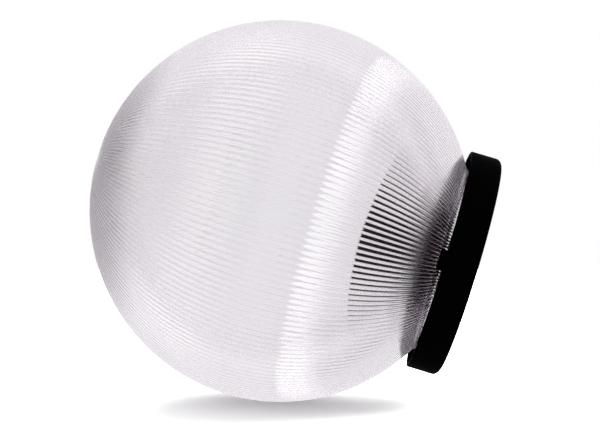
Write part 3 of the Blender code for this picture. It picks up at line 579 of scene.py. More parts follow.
def clear(name, tint, ior, roughness):
    """A clear plastic or glass with faint flow marks in its gloss."""
    found = bpy.data.materials.get(name)
    if found:
        return found
    material, tree, shader = new_material(name)
    shader.inputs["Base Color"].default_value = (*tint, 1.0)
    shader.inputs["Transmission Weight"].default_value = 1.0
    shader.inputs["IOR"].default_value = ior
    flow = noise(tree, add(tree, "ShaderNodeTexCoord").outputs["Object"], 35.0, 3.0)
    tree.links.new(spread(tree, flow, roughness / 2, roughness * 1.5), shader.inputs["Roughness"])
    return material


# Shade


def prism_columns(shade, steps=4):
    """Shares of one pitch from a crest, and the depth below the round crest there in pitches."""
    foot = (1.0 - shade.groove) / 2
    sag = foot * math.tan(shade.prism_slope) / 2
    half = [(foot * i / steps, sag * (i / steps) ** 2) for i in range(steps + 1)]
    for slope in ((shade.prism_slope + shade.groove_slope) / 2, shade.groove_slope):
        share, depth = half[-1]
        half.append((share + shade.groove / 4, depth + shade.groove / 4 * math.tan(slope)))
    return half + [(1.0 - share, depth) for share, depth in reversed(half[1:-1])]


def prism_ring(shape, shade, polar):
    points = []
    pitch = 2 * math.pi * GLOBE_RADIUS / shade.prisms
    for i in range(shade.prisms):
        for share, depth in prism_columns(shade):
            turn = LUG_AZIMUTH + 2 * math.pi * (i + share) / shade.prisms
            reach = GLOBE_RADIUS - depth * pitch * math.sin(polar)
            flat = reach * math.sin(polar)
            at = Vector((flat * math.cos(turn), flat * math.sin(turn), reach * math.cos(polar)))
            points.append(shape.verts.new(GLOBE_CENTRE + at))
    return points


def bridge(shape, lower, upper):
    """Faces between two rings that differ in their count of points, from the same start."""
    marks = [(i / len(points), points) for points in (lower, upper) for i in range(1, len(points) + 1)]
    taken = {id(lower): 0, id(upper): 0}
    for _, points in sorted(marks, key=lambda mark: mark[0]):
        other = upper if points is lower else lower
        start = taken[id(points)]
        taken[id(points)] += 1
        corners = (points[start], points[(start + 1) % len(points)], other[taken[id(other)] % len(other)])
        shape.faces.new(corners)


def shade_shape(shade):
    """The prismatic sphere, its plain neck and its smooth inside, as one closed shell."""
    rows, inside_rows, segments, pole = 37, 36, 120, math.radians(1.6)
    deepest = max(depth for _, depth in prism_columns(shade)) * 2 * math.pi * GLOBE_RADIUS / shade.prisms
    shape = bmesh.new()
    last = math.pi - math.asin((shade.neck_radius + shade.shoulder) / GLOBE_RADIUS)
    outside = [prism_ring(shape, shade, pole + (last - pole) * i / rows) for i in range(rows + 1)]
    tip = [shape.verts.new(GLOBE_CENTRE + Vector((0.0, 0.0, GLOBE_RADIUS)))]
    skin(shape, tip, outside[0])
    for upper, lower in zip(outside, outside[1:]):
        skin(shape, upper, lower)
    neck, inner_neck = shade.neck_radius, shade.neck_radius - shade.neck_wall
    inner = GLOBE_RADIUS - deepest - shade.wall
    inner_last = math.pi - math.asin(inner_neck / inner)
    top, end = outside[-1][0].co.z, GLOBE_LOW.z
    edge = 0.0004
    profile = [(neck, top - edge), *arc((neck - edge, end + edge), edge, 0, -90, 3),
               *arc((inner_neck + edge, end + edge), edge, 270, 180, 3)]
    for i in range(inside_rows):
        polar = inner_last * (1 - i / inside_rows)
        profile.append((inner * math.sin(polar), GLOBE_CENTRE.z + inner * math.cos(polar)))
    profile.append((0.0, GLOBE_CENTRE.z + inner))
    rings = [ring(shape, radius, height, segments) for radius, height in profile]
    bridge(shape, outside[-1], rings[0])
    for lower, upper in zip(rings, rings[1:]):
        skin(shape, lower, upper)
    return shape


def make_shade(shade):
    lug_low, lug_high, lug_width, lug_reach, edge = 0.0082, 0.0112, 0.012, 0.0040, 0.0003
    inner = shade.neck_radius - shade.neck_wall / 2

    def lug(azimuth):
        return ring_sector(inner, shade.neck_radius + lug_reach, lug_low, lug_high, lug_width, azimuth, edge)

    acrylic = clear("clear acrylic", shade.tint, ior=1.49, roughness=shade.roughness)
    tree = acrylic.node_tree
    inside = add(tree, "ShaderNodeVolumeAbsorption",
                 {"Color": (*shade.body_tint, 1.0), "Density": shade.density})
    tree.links.new(inside.outputs[0], tree.nodes["Material Output"].inputs["Volume"])
    build("prismatic_globe", "globe", shade_shape(shade), acrylic, fused=[at_each_lug(lug)])


# Base


def base_profile(base):
    """Half section from the middle of the back round to the top of the pedestal."""
    rim_inner = BASE_RADIUS - base.wall
    back, lip, fillet = 0.0032, 0.0006, 0.0010
    flange_radius, flange_low, flange_high = 0.0498, 0.0115, 0.0140
    rib_outer, rib_inner, rib_z = 0.0454, 0.0441, base.floor + 0.0014
    pedestal, draft, pedestal_z = 0.0220, 0.0006, base.floor + 0.0050
    profile = [(0.0, 0.0)]
    profile += arc((BASE_RADIUS - back, back), back, -90, 0, 8)
    profile += arc((BASE_RADIUS - lip, base.rim_z - lip), lip, 0, 90, 4)
    profile += arc((rim_inner + lip, base.rim_z - lip), lip, 90, 180, 4)
    profile += [(rim_inner, flange_high), (flange_radius, flange_high)]
    profile += [(flange_radius, flange_low), (rim_inner, flange_low)]
    profile += arc((rim_inner - fillet, base.floor + fillet), fillet, 0, -90, 4)
    profile += [(rib_outer, base.floor), (rib_outer, rib_z), (rib_inner, rib_z), (rib_inner, base.floor)]
    profile += [(pedestal, base.floor), (pedestal - draft, pedestal_z), (0.0, pedestal_z)]
    return profile


def slot_outline(size, width, steps=12):
    half = (size - width) / 2
    return arc((half, 0.0), width / 2, -90, 90, steps) + arc((-half, 0.0), width / 2, 90, 270, steps)


def rod(radius, low, high, at=(0.0, 0.0), segments=32):
    shape = turned([(0.0, low), (radius, low), (radius, high), (0.0, high)], segments, closed=False)
    return moved(shape, (*at, 0.0))


def stops_and_seats(base, grommet_at, block_at):
    """What stands on the base: the bayonet stops, the index tab, the grommet's boss and the block's pad."""
    rim_inner, foot = BASE_RADIUS - base.wall, base.floor - SINK
    stop_inner, stop_top, stop_width, stop_turn = 0.0510, 0.0120, 0.0040, math.radians(20) + 0.1638
    tab_width, tab_edge = 0.0105, 0.0005
    boss_inner, boss_outer, boss_top = 0.0045, 0.0100, 0.0060
    pad_width, pad_depth = 0.0200, 0.0080

    def stop(azimuth):
        return ring_sector(stop_inner, rim_inner + base.wall / 2, foot, stop_top, stop_width, azimuth)

    tab = ring_sector(rim_inner + FIT, BASE_RADIUS - FIT, base.rim_z - base.wall, BASE_HIGH.z, tab_width,
                      LUG_AZIMUTH, tab_edge)
    boss = turned([(boss_inner, foot), (boss_outer, foot), (boss_outer, boss_top),
                   (boss_inner, boss_top)], 64)
    pad_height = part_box("terminal_block")[0].z - FIT - base.floor
    pad = box((pad_width, pad_depth, pad_height + SINK), (*block_at, base.floor + (pad_height - SINK) / 2))
    return [at_each_lug(stop, -stop_turn), tab, moved(boss, (*grommet_at, 0.0)), pad]


def base_openings(base, grommet_at, block_at):
    """Cutters for the bayonet entries, the grommet's seat, the screw holes and the fixing slots."""
    entry_inner, entry_outer, entry_low, entry_high, entry_width = 0.0488, 0.0538, 0.0105, 0.0150, 0.0136
    seat_radius, seat_top, bore_radius, bore_top = 0.0092, 0.0022, 0.0065, 0.0070
    slot_length, slot_width, slot_place, foot_screw_place = 0.0110, 0.0055, 0.034, 0.0105
    block_hole, foot_hole, hole_top = 0.0021, 0.0026, 0.0090
    off_line = Matrix.Rotation(0.02, 3, "Z")  # so that its facets don't line up with those of the boss

    def entry(azimuth):
        return ring_sector(entry_inner, entry_outer, entry_low, entry_high, entry_width, azimuth)

    seat = turned([(0.0, -OVERCUT), (seat_radius, -OVERCUT), (seat_radius, seat_top),
                   (bore_radius, seat_top), (bore_radius, bore_top), (0.0, bore_top)], 64, closed=False)
    cuts = [at_each_lug(entry), moved(seat, (*grommet_at, 0.0), off_line),
            rod(PILOT_RADIUS, block_hole, hole_top, block_at)]
    for side in (-1, 1):
        slot = prism(slot_outline(slot_length, slot_width), -OVERCUT, base.floor + OVERCUT)
        cuts.append(moved(slot, (side * slot_place, 0.0, 0.0)))
        cuts.append(rod(PILOT_RADIUS, foot_hole, hole_top, (side * foot_screw_place, 0.0)))
    return cuts


def make_base(base):
    places = (0.0, middle("cable_grommet")[1]), (0.0, middle("terminal_block")[1])
    black = moulded("black moulded plastic", base.colour, base.roughness, grain=2200.0, bump=0.12,
                    specular=0.001)
    build("moulded_base", "base", turned(base_profile(base), 160, closed=False), black,
          fused=stops_and_seats(base, *places), cut=base_openings(base, *places))


# Seal and grommet


def make_rubber(rubber):
    material = moulded("black rubber", rubber.colour, rubber.roughness, grain=1800.0, bump=0.2, specular=0.3)
    make_seal(rubber, material)
    make_grommet(material)


def make_seal(rubber, material):
    """The flat seal under the neck, with two lips on each face."""
    low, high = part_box("globe_seal")
    inner, outer, lip = high.x - rubber.seal_width, high.x, rubber.lip
    lip_shares = (0.3, 0.7)

    def lips(shares, valley, crest, half):
        points = []
        for share in shares:
            peak = inner + (outer - inner) * share
            points += [(peak - half, valley), (peak, crest), (peak + half, valley)]
        return points

    under, over = low.z + lip, high.z - lip
    profile = [(inner, under), *lips(lip_shares, under, low.z, 1.5 * lip), (outer, under), (outer, over),
               *lips(lip_shares[::-1], over, high.z, -1.5 * lip), (inner, over)]
    build("neck_seal", "globe_seal", turned(eased(profile, lip / 2), 128), material)


def make_grommet(material):
    """The closed grommet: a waist between two flanges, and a skin to push a cable through."""
    low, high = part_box("cable_grommet")
    edge, waist, bore, taper, dish = high.x, high.x - 0.0027, high.x - 0.0044, 0.0008, 0.0004
    seat, shoulder, under = low.z + 0.0015, high.z - 0.0016, high.z - 0.0009
    profile = [(bore, low.z), (edge, low.z), (edge, seat), (waist, seat), (waist, shoulder),
               (edge, shoulder), (edge - taper, high.z), (bore, high.z), (bore - dish, high.z - dish),
               (bore / 2, high.z - dish), (bore / 2 - dish, high.z), (0.0, high.z), (0.0, under),
               (bore, under)]
    shape = moved(turned(eased(profile, 0.0003), 64), (0.0, middle("cable_grommet")[1], 0.0))
    build("closed_grommet", "cable_grommet", shape, material)


# Lampholder


def screw(head_radius, head_height, radius, reach, pitch):
    """A domed screw that stands on the underside of its head at the origin, with a rolled thread."""
    rows = thread_rows(radius - pitch / 8, pitch / 8, pitch, -reach + pitch / 2, -pitch / 2)
    crown = head_height / 2
    dome = [(head_radius * math.cos(a), crown + (head_height - crown) * math.sin(a))
            for a in (math.radians(10 * i) for i in range(9))]
    profile = [(0.0, -reach), (radius - pitch / 2, -reach), *rows, (radius, 0.0), (head_radius, 0.0), *dome,
               (0.0, head_height)]
    return turned(profile, 32, closed=False)


def build_screw(name, node, material, head, radius, recess):
    """A fixing screw where its node lies. The recess is a cross with a width, a depth and a length."""
    low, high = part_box(node)
    at, (width, depth, size) = middle(node), recess
    shape = screw((high.x - low.x) / 2, head, radius, high.z - low.z - head, SCREW_PITCH)
    top = (*at, high.z)
    cross = [box((size, width, 2 * depth), top), box((width, size, 2 * depth), top)]
    build(name, node, moved(shape, (*at, high.z - head)), material, cut=cross)


def make_holder(holder):
    bakelite = moulded("dark bakelite", holder.bakelite, 0.35, grain=900.0, bump=0.05, specular=0.3)
    ceramic = moulded("white ceramic", holder.ceramic, 0.4, tone_change=0.06, grain=2600.0, bump=0.08)
    nickel = metal("nickel plate", holder.nickel, 0.22)
    brass = metal("brass", holder.brass, 0.28)
    steel = metal("zinc plated steel", holder.steel, 0.34)
    make_foot(bakelite, steel)
    make_skirt(bakelite)
    make_insert(ceramic, brass)
    low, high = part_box("screw_shell")
    wall, depth, lip = 0.0004, 0.00025, 0.0080
    mean = high.x - wall - depth
    inside = thread_rows(mean, depth, THREAD_PITCH, low.z + 3 * wall, high.z)
    outside = thread_rows(mean + wall, depth, THREAD_PITCH, low.z + 3 * wall, high.z)
    shell = turned([(lip, low.z), (mean + wall - depth, low.z), *outside, *reversed(inside),
                    (mean - 2 * depth, low.z + wall), (lip, low.z + wall)], 96)
    build("holder_shell", "screw_shell", shell, nickel)


def make_foot(bakelite, steel):
    low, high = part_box("lampholder_foot")
    radius, cavity, floor, notch = high.x, 0.0150, low.z + 0.0025, 0.0190
    profile = [(0.0, low.z), (radius, low.z), (radius, high.z), (cavity, high.z), (cavity, floor),
               (0.0, floor)]
    reach = radius + OVERCUT
    cuts = [box((notch, reach, high.z - floor), (0.0, reach / 2, floor + FIT + (high.z - floor) / 2))]
    for word in ("left", "right"):
        node = f"lampholder_screw_{word}"
        cuts.append(rod(PILOT_RADIUS, low.z - OVERCUT, floor + OVERCUT, middle(node)))
        build_screw(f"holder_fixing_{word}", node, steel, head=0.0020, radius=0.0016,
                    recess=(0.0009, 0.0011, 0.0036))
    shape = lathe(profile, 0.0006, 96)
    build("holder_foot", "lampholder_foot", shape, bakelite, cut=cuts)


def make_skirt(bakelite):
    """The outer sleeve, with grip ribs round its wide lower end."""
    low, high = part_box("lampholder_skirt")
    ribs, rib = 48, 0.0004
    step, taper, bore, lip_radius, lip_low = low.z + 0.0120, 0.0007, 0.0175, 0.0144, high.z - 0.0020
    top = high.x - taper

    def grip(turn):
        return high.x - rib / 2 + rib / 2 * math.tanh(3 * math.cos(ribs * turn))

    sleeve = eased([(high.x - rib, step), (top, step + taper), (top, high.z), (lip_radius, high.z),
                    (lip_radius, lip_low), (bore, lip_low - taper), (bore, low.z)], 0.0006, closed=False)
    skirt = turned([(high.x - rib, low.z), (grip, low.z + rib), (grip, step - rib), *sleeve], 5 * ribs)
    build("holder_skirt", "lampholder_skirt", skirt, bakelite)


def make_insert(ceramic, brass):
    """The ceramic insert, its two posts and the sprung centre contact."""
    low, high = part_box("lampholder_insert")
    well, well_z, stem = 0.0075, high.z - 0.0080, 0.0015
    profile = [(0.0, low.z), (high.x, low.z), (high.x, high.z), (well, high.z), (well, well_z),
               (0.0, well_z)]
    slot_width, slot_height = 0.0007, 0.0012
    cuts = []
    for pole in ("live", "neutral"):
        node = f"terminal_post_{pole}"
        post_low, post_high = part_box(node)
        at = middle(node)
        cuts.append(rod(stem + FIT, low.z - OVERCUT, post_high.z + OVERCUT, at))
        radius, shoulder = (post_high.x - post_low.x) / 2, low.z - FIT
        post = [(0.0, post_low.z), (radius, post_low.z), (radius, shoulder), (stem, shoulder),
                (stem, post_high.z), (0.0, post_high.z)]
        shape = moved(lathe(post, 0.0004, 40), (*at, 0.0))
        groove = box((2.2 * radius, slot_width, slot_height), (*at, post_low.z))
        build(f"holder_post_{pole}", node, shape, brass, cut=[groove])
    build("holder_insert", "lampholder_insert", lathe(profile, 0.0005, 96), ceramic, cut=cuts)
    make_contact(brass)


def make_contact(brass):
    """A bent brass leaf whose raised middle presses on the tip of the lamp."""
    low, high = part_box("centre_contact")
    reach, width, thick, flat, tail = 0.0051, 0.0048, 0.0006, 0.0020, 0.0040
    top = high.z - thick
    line = [(reach, low.z), (-reach, low.z), (-reach, top - thick), (-flat, high.z), (flat, high.z),
            (tail, top - thick), (tail - thick, top - 2 * thick), (flat - thick / 2, top),
            (-flat + thick / 2, top), (-reach + thick, top - 2 * thick), (-reach + thick, low.z + thick),
            (reach, low.z + thick)]
    leaf = prism(eased(line, thick), -width / 2, width / 2)
    turn = Matrix.Rotation(math.radians(45), 3, "Z") @ Matrix.Rotation(math.pi / 2, 3, "X")
    build("holder_contact", "centre_contact", moved(leaf, turn=turn), brass)


# Terminals and leads


def make_terminals(holder):
    grey = moulded("grey polyamide", holder.polyamide, 0.5, tone_change=0.15, grain=2000.0, bump=0.12)
    brass = metal("brass", holder.brass, 0.28)
    steel = metal("zinc plated steel", holder.steel, 0.34)
    low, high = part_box("terminal_block")
    size, centre = high - low, (low + high) / 2
    sleeve_radius, bore, well, groove_width, groove_height = 0.0026, 0.0015, 0.0016, 0.0012, 0.0016
    quarter = Matrix.Rotation(math.pi / 2, 3, "X")
    cuts = [rod(PILOT_RADIUS, low.z - OVERCUT, high.z + OVERCUT, (centre.x, centre.y)),
            box((groove_width, 2 * size.y, groove_height), (centre.x, centre.y, high.z))]
    for pole in ("live", "neutral"):
        node = f"terminal_sleeve_{pole}"
        sleeve_low, sleeve_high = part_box(node)
        at = (sleeve_low + sleeve_high) / 2
        half = (sleeve_high.y - sleeve_low.y) / 2
        cuts.append(moved(rod(sleeve_radius + FIT, -size.y, size.y), at, quarter))
        sleeve = [(sleeve_radius, -half), (sleeve_radius, half), (bore, half), (bore, -half)]
        build(f"terminal_tube_{pole}", node, moved(turned(eased(sleeve, 0.0003), 40), at, quarter), brass)
        for end in ("inner", "outer"):
            node = f"clamp_screw_{pole}_{end}"
            cuts.append(rod(well, at.z, high.z + OVERCUT, middle(node)))
            make_clamp(f"terminal_clamp_{pole}_{end}", node, steel)
    build("terminal_body", "terminal_block", box(size, centre, 0.0006, 3), grey, cut=cuts)
    build_screw("terminal_fixing", "terminal_block_screw", steel, head=0.0006, radius=0.0015,
                recess=(0.0005, 0.0004, 0.0022))


def make_clamp(name, node, steel):
    """A headless slotted screw."""
    low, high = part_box(node)
    at = middle(node)
    depth, pitch, chamfer = 0.0001, 0.0007, 0.0003
    slot_width, slot_depth, slot_length = 0.0006, 0.0006, 0.0040
    radius = (high.x - low.x) / 2
    rows = thread_rows(radius - depth, depth, pitch, low.z + chamfer, high.z - chamfer)
    profile = [(0.0, low.z), (radius - chamfer, low.z), *rows, (radius - chamfer, high.z), (0.0, high.z)]
    slot = box((slot_length, slot_width, 2 * slot_depth), (*at, high.z))
    build(name, node, moved(turned(profile, 32, closed=False), (*at, 0.0)), steel, cut=[slot])


def make_leads(holder):
    """The two insulated leads from the terminal block to the posts."""
    block_low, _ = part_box("terminal_block")
    insert_low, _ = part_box("lampholder_insert")
    radius, drop = 0.0011, 0.0055
    for pole, tint in (("live", holder.live), ("neutral", holder.neutral)):
        insulation = moulded(f"{pole} insulation", tint, 0.45, tone_change=0.1, grain=1200.0, bump=0.05)
        sleeve_low, sleeve_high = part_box(f"terminal_sleeve_{pole}")
        start = (sleeve_low + sleeve_high) / 2
        start.y = block_low.y - FIT
        post_x, _ = middle(f"terminal_post_{pole}")
        end = Vector((post_x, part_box(f"terminal_post_{pole}")[1].y + FIT, insert_low.z - drop / 2))
        knots = [start, start + Vector((0.0, -2 * radius, 0.0)), end + Vector((0.0, 3 * radius, 0.0)), end]
        build(f"lead_wire_{pole}", f"lead_{pole}", tube(smooth_route(knots, 40), radius, 20), insulation)


# Lamp


def make_lamp(lamp):
    nickel = metal("nickel plate", bpy.context.scene.globe_light.holder.nickel, 0.22)
    solder = metal("solder", lamp.solder, 0.4, lines=600.0, bump=0.2)
    tungsten = metal("tungsten", lamp.tungsten, 0.4)
    dark_glass = moulded("dark glass", lamp.insulator, 0.12, grain=700.0, bump=0.04, coat=0.4)
    # Less than real glass bends light, so that the lamp hardly shows through the prisms
    glass = clear("lamp glass", lamp.glass, ior=1.2, roughness=0.006)
    low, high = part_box("lamp_tip")
    edge = high.x
    tip = [(0.0, low.z), (edge * 0.45, low.z + 0.0001), (edge * 0.8, low.z + 0.0004), (edge, low.z + 0.0009),
           (edge, high.z), (0.0, high.z)]
    build("lamp_solder", "lamp_tip", lathe(tip, 0.0004, 48), solder)
    low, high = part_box("lamp_insulator")
    bead = [(0.0, low.z), (edge, low.z), (edge + 0.0012, low.z + 0.0018), (edge + 0.0030, low.z + 0.0024),
            (high.x, low.z + 0.0037), (high.x, high.z), (0.0, high.z)]
    build("lamp_bead", "lamp_insulator", lathe(bead, 0.0006, 64), dark_glass)
    make_cap(nickel)
    make_bulb(glass)
    make_stem(glass, tungsten)


def make_cap(nickel):
    """The screw cap, in step with the thread of the shell."""
    low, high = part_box("lamp_cap")
    wall, depth, mouth = 0.0004, 0.0003, 0.0090
    mean = high.x - depth
    start, end = low.z + 0.0024, high.z - 0.0012
    outside = thread_rows(mean, depth, THREAD_PITCH, start, end)
    inside = thread_rows(mean - wall, depth, THREAD_PITCH, start, end)
    cap = [(mouth, low.z), (mean - 0.0022, low.z), (mean - 0.0006, start - 0.0012), *outside,
           (high.x, high.z), (high.x - wall, high.z), *reversed(inside), (mean - 0.0010, start - 0.0012),
           (mean - 0.0026, low.z + wall), (mouth, low.z + wall)]
    build("lamp_screw_cap", "lamp_cap", turned(cap, 96), nickel)


def make_bulb(glass):
    """The clear envelope: a plain neck in the cap, a flare and a round top."""
    low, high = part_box("lamp_bulb")
    cap_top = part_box("lamp_cap")[1].z
    radius, wall, flare, steps = high.x, 0.0005, 40, 8
    neck_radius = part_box("lamp_cap")[1].x - 0.0009
    profile = []
    for inset, forwards in ((0.0, True), (wall, False)):
        round_top = arc((0.0, high.z - radius), radius - inset, -flare, 90, 28)[:-1]
        neck = neck_radius - inset
        flare_radius, flare_z = round_top[0]
        side = [(neck, low.z), (neck, cap_top)]
        for i in range(1, steps):
            along = i / steps
            side.append((neck + (flare_radius - neck) * along**2, cap_top + (flare_z - cap_top) * along))
        half = side + round_top + [(0.0, high.z - inset)]
        profile += half if forwards else half[::-1]
    build("lamp_envelope", "lamp_bulb", turned(profile, 128), glass)


def make_stem(glass, tungsten):
    """The glass stem, and the two wires and the coil that it carries."""
    low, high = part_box("lamp_stem")
    flange, tube_radius, tube_z, rod_radius, button = high.x, 0.0036, low.z + 0.0250, 0.0013, 0.0021
    stem = [(0.0, low.z), (flange, low.z), (flange, low.z + 0.0015), (tube_radius + 0.0016, low.z + 0.0030),
            (tube_radius, low.z + 0.0060), (tube_radius, tube_z), (rod_radius, tube_z),
            (rod_radius, high.z - 0.0043), (button, high.z - 0.0030), (button, high.z), (0.0, high.z)]
    build("lamp_glass_stem", "lamp_stem", lathe(stem, 0.0010, 64), glass)
    low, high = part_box("lamp_filament")
    wire, fine, coil, turns = 0.00025, 0.00008, 0.0003, 44
    reach, foot, level = high.y - 0.0005, (tube_radius + rod_radius) / 2, high.z - 0.0005
    shape = bmesh.new()
    for side in (-1, 1):
        knots = [Vector((0.0, side * y, z)) for y, z in
                 ((foot, low.z), (foot, low.z + 0.0020), (reach, level - 0.0020), (reach, level + coil / 2))]
        add_shape(shape, tube(smooth_route(knots, 24), wire, 12))
    spiral = []
    for i in range(turns * 12 + 1):
        turn = 2 * math.pi * i / 12
        along = -reach + 2 * reach * i / (turns * 12)
        spiral.append(Vector((coil * math.cos(turn), along, level + coil * math.sin(turn))))
    add_shape(shape, tube(spiral, fine, 6))
    build("lamp_coil", "lamp_filament", shape, tungsten)


# Stage


def view_axes(stage):
    """Right, up and back of the photograph's view, as directions in the frame."""
    back = Vector((0.0, -math.cos(stage.tilt), -math.sin(stage.tilt)))
    axis = Vector((0.0, 0.0, -1.0))
    towards_base = (axis - back * axis.dot(back)).normalized()
    across = back.cross(towards_base)
    right = math.cos(stage.roll) * towards_base + math.sin(stage.roll) * across
    up = math.cos(stage.roll) * across - math.sin(stage.roll) * towards_base
    return right, up, back


def turned_to(right, up, back, at):
    """A placement whose X, Y and Z are the three directions."""
    matrix = Matrix((right, up, back)).transposed().to_4x4()
    matrix.translation = at
    return matrix


def make_camera(stage):
    right, up, back = view_axes(stage)
    data = bpy.data.cameras.new("photograph")
    data.sensor_width = 36.0
    data.lens = stage.focal_length
    data.shift_x = (IMAGE_SIZE[0] / 2 - GLOBE_PIXEL[0]) / IMAGE_SIZE[0]
    data.shift_y = (GLOBE_PIXEL[1] - IMAGE_SIZE[1] / 2) / IMAGE_SIZE[0]
    camera = bpy.data.objects.new("photograph", data)
    camera.matrix_world = turned_to(right, up, back, GLOBE_CENTRE + back * stage.distance)
    bpy.context.scene.collection.objects.link(camera)
    bpy.context.scene.camera = camera


def make_floor(stage):
    """A white floor under the globe, seen from its upper side only. Glass shows the white studio instead."""
    right, up, back = view_axes(stage)
    side = 1.6
    shape = bmesh.new()
    corners = [(-side, -side), (side, -side), (side, side), (-side, side)]
    shape.faces.new([shape.verts.new((x, y, 0.0)) for x, y in corners])
    floor = to_object("white_floor", shape)
    floor.matrix_world = turned_to(right, -back, up, GLOBE_CENTRE - up * (GLOBE_RADIUS + FIT))
    material = bpy.data.materials.new("white floor")
    material.use_nodes = True
    tree = material.node_tree
    tree.nodes.clear()
    paint = add(tree, "ShaderNodeBsdfDiffuse", {"Color": (0.8, 0.8, 0.8, 1.0)}).outputs[0]
    # The camera sees five times the paint, so that the lit floor is white
    double = add(tree, "ShaderNodeAddShader", {0: paint, 1: paint}).outputs[0]
    fourfold = add(tree, "ShaderNodeAddShader", {0: double, 1: double}).outputs[0]
    white = add(tree, "ShaderNodeAddShader", {0: fourfold, 1: paint}).outputs[0]
    hole = add(tree, "ShaderNodeBsdfTransparent").outputs[0]
    direct = add(tree, "ShaderNodeLightPath").outputs["Is Camera Ray"]
    seen = add(tree, "ShaderNodeMixShader", {0: direct, 1: paint, 2: white}).outputs[0]
    under = add(tree, "ShaderNodeNewGeometry").outputs["Backfacing"]
    mixed = add(tree, "ShaderNodeMixShader", {0: under, 1: seen, 2: hole})
    add(tree, "ShaderNodeOutputMaterial", {"Surface": mixed.outputs[0]})
    floor.data.materials.append(material)
    floor.visible_glossy = floor.visible_transmission = False


def make_light(stage):
    """A wide soft box overhead, a little to the right and behind, that faces the globe."""
    right, up, back = view_axes(stage)
    distance, size, to_right, to_top, to_back = 1.0, 2.1, 0.42, 1.0, -0.55
    way = (right * to_right + up * to_top + back * to_back).normalized()
    data = bpy.data.lights.new("top_box", "AREA")
    data.shape = "RECTANGLE"
    data.size = data.size_y = size
    data.energy = stage.lamp_power
    light = bpy.data.objects.new("top_box", data)
    across = up.cross(way).normalized()
    light.matrix_world = turned_to(across, way.cross(across), way, GLOBE_CENTRE + way * distance)
    light.visible_glossy = light.visible_transmission = False
    bpy.context.scene.collection.objects.link(light)


def towards(tree, seen, direction):
    """How far a direction of sight points along another, from -1 to 1."""
    return add(tree, "ShaderNodeVectorMath", {0: seen, 1: tuple(direction)},
               operation="DOT_PRODUCT").outputs["Value"]


def ramp(tree, value, edges, first, last):
    """A soft step from first to last while the value passes between the edges."""
    return add(tree, "ShaderNodeMapRange",
               {"Value": value, "From Min": edges[0], "From Max": edges[1], "To Min": first, "To Max": last},
               interpolation_type="SMOOTHSTEP").outputs["Result"]


def panel(tree, side, ahead, near, far, behind, strength):
    """A soft light between two edges to the side, and before an edge behind it."""
    return combine(tree, "MULTIPLY", ramp(tree, side, near, 0.0, strength), ramp(tree, side, far, 1.0, 0.0),
                   ramp(tree, ahead, behind, 0.0, 1.0))


def blend(tree, share, first, second):
    return add(tree, "ShaderNodeMix", {0: share, 2: first, 3: second}).outputs[0]


def make_world(stage):
    """A white studio with a dim room behind the camera, a flag on the left and two lights in front.

    Clear pieces and gloss show the studio, and gloss alone shows the lights. Other surfaces get an even
    light, and the camera sees white.
    """
    right, up, back = view_axes(stage)
    base_way = right * math.cos(stage.roll) - up * math.sin(stage.roll)
    level_way = -right * math.cos(stage.flag_turn) - back * math.sin(stage.flag_turn)
    flag_way = level_way * math.cos(stage.flag_rise) + up * math.sin(stage.flag_rise)
    world = bpy.data.worlds.new("studio")
    bpy.context.scene.world = world
    world.use_nodes = True
    tree = world.node_tree
    tree.nodes.clear()
    seen = add(tree, "ShaderNodeTexCoord").outputs["Generated"]
    path = add(tree, "ShaderNodeLightPath").outputs
    ahead, side = towards(tree, seen, back), towards(tree, seen, base_way)
    front = ramp(tree, ahead, (-0.42, 0.26), 0.0, 1.0)
    depth = ramp(tree, side, (0.15, 0.45), stage.front_depth, stage.room_depth)
    room = combine(tree, "SUBTRACT", 1.0, combine(tree, "MULTIPLY", front, depth))
    flag = ramp(tree, towards(tree, seen, flag_way), (0.81, 0.985), 1.0, 1.0 - stage.flag_depth)
    strip = panel(tree, side, ahead, near=(0.28, 0.32), far=(0.42, 0.63), behind=(-0.5, 0.4),
                  strength=stage.strip_light)
    window = panel(tree, side, ahead, near=(-0.95, -0.72), far=(-0.6, -0.1), behind=(-0.1, 0.6),
                   strength=stage.window_light)
    gloss = combine(tree, "SUBTRACT", 1.0, path["Is Transmission Ray"])
    lights = combine(tree, "MULTIPLY", combine(tree, "ADD", strip, window), gloss)
    studio = combine(tree, "ADD", combine(tree, "MULTIPLY", room, flag, stage.backdrop), lights)
    shows_studio = combine(tree, "MULTIPLY",
                           combine(tree, "MAXIMUM", path["Is Glossy Ray"], path["Is Transmission Ray"]),
                           combine(tree, "LESS_THAN", path["Diffuse Depth"], 0.5))
    unseen = blend(tree, shows_studio, stage.plain_light, studio)
    strength = blend(tree, path["Is Camera Ray"], unseen, 1.0)
    shader = add(tree, "ShaderNodeBackground", {"Color": (1.0, 1.0, 1.0, 1.0), "Strength": strength})
    add(tree, "ShaderNodeOutputWorld", {"Surface": shader.outputs[0]})


def make_stage(stage):
    make_camera(stage)
    make_floor(stage)
    make_world(stage)
    make_light(stage)
    scene = bpy.context.scene
    scene.view_settings.view_transform = "Standard"
    scene.cycles.max_bounces = stage.bounces
    scene.cycles.glossy_bounces = stage.bounces
    scene.cycles.transmission_bounces = stage.bounces


# Operators


class GLOBE_LIGHT_OT_shade(bpy.types.Operator):
    """Build the clear prismatic globe."""

    bl_idname = "globe_light.shade"
    bl_label = "Prismatic globe"

    def execute(self, context):
        make_shade(context.scene.globe_light.shade)
        return {"FINISHED"}


class GLOBE_LIGHT_OT_base(bpy.types.Operator):
    """Build the moulded base."""

    bl_idname = "globe_light.base"
    bl_label = "Base"

    def execute(self, context):
        make_base(context.scene.globe_light.base)
        return {"FINISHED"}


class GLOBE_LIGHT_OT_rubber(bpy.types.Operator):
    """Build the neck seal and the cable grommet."""

    bl_idname = "globe_light.rubber"
    bl_label = "Seal and grommet"

    def execute(self, context):
        make_rubber(context.scene.globe_light.rubber)
        return {"FINISHED"}


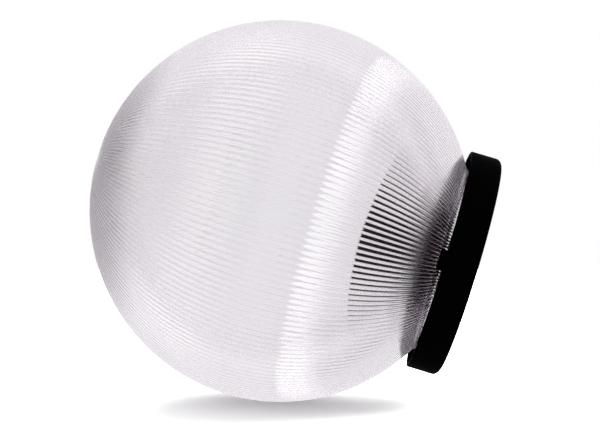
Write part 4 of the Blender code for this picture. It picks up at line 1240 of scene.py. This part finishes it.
class GLOBE_LIGHT_OT_holder(bpy.types.Operator):
    """Build the lampholder."""

    bl_idname = "globe_light.holder"
    bl_label = "Lampholder"

    def execute(self, context):
        make_holder(context.scene.globe_light.holder)
        return {"FINISHED"}


class GLOBE_LIGHT_OT_terminals(bpy.types.Operator):
    """Build the terminal block with its sleeves and screws."""

    bl_idname = "globe_light.terminals"
    bl_label = "Terminals"

    def execute(self, context):
        make_terminals(context.scene.globe_light.holder)
        return {"FINISHED"}


class GLOBE_LIGHT_OT_leads(bpy.types.Operator):
    """Build the two leads."""

    bl_idname = "globe_light.leads"
    bl_label = "Leads"

    def execute(self, context):
        make_leads(context.scene.globe_light.holder)
        return {"FINISHED"}


class GLOBE_LIGHT_OT_lamp(bpy.types.Operator):
    """Build the lamp."""

    bl_idname = "globe_light.lamp"
    bl_label = "Lamp"

    def execute(self, context):
        make_lamp(context.scene.globe_light.lamp)
        return {"FINISHED"}


class GLOBE_LIGHT_OT_stage(bpy.types.Operator):
    """Set up the camera, the floor and the light."""

    bl_idname = "globe_light.stage"
    bl_label = "Stage"

    def execute(self, context):
        make_stage(context.scene.globe_light.stage)
        return {"FINISHED"}


OPERATORS = (GLOBE_LIGHT_OT_stage, GLOBE_LIGHT_OT_shade, GLOBE_LIGHT_OT_base, GLOBE_LIGHT_OT_rubber,
             GLOBE_LIGHT_OT_holder, GLOBE_LIGHT_OT_terminals, GLOBE_LIGHT_OT_leads, GLOBE_LIGHT_OT_lamp)


class GLOBE_LIGHT_PT_pieces(bpy.types.Panel):
    """Buttons that build the pieces of the globe light."""

    bl_label = "Globe light"
    bl_space_type = "VIEW_3D"
    bl_region_type = "UI"
    bl_category = "Globe light"

    def draw(self, context):
        for operator in OPERATORS:
            self.layout.operator(operator.bl_idname)


CLASSES = (ShadeSettings, BaseSettings, RubberSettings, HolderSettings, LampSettings, StageSettings,
           GlobeLightSettings, *OPERATORS, GLOBE_LIGHT_PT_pieces)


def register():
    for item in CLASSES:
        bpy.utils.register_class(item)
    bpy.types.Scene.globe_light = bpy.props.PointerProperty(type=GlobeLightSettings)


def unregister():
    del bpy.types.Scene.globe_light
    for item in reversed(CLASSES):
        bpy.utils.unregister_class(item)


def main():
    register()
    bpy.ops.globe_light.stage()
    bpy.ops.globe_light.shade()
    bpy.ops.globe_light.base()
    bpy.ops.globe_light.rubber()
    bpy.ops.globe_light.holder()
    bpy.ops.globe_light.terminals()
    bpy.ops.globe_light.leads()
    bpy.ops.globe_light.lamp()


if __name__ == "__main__":
    main()
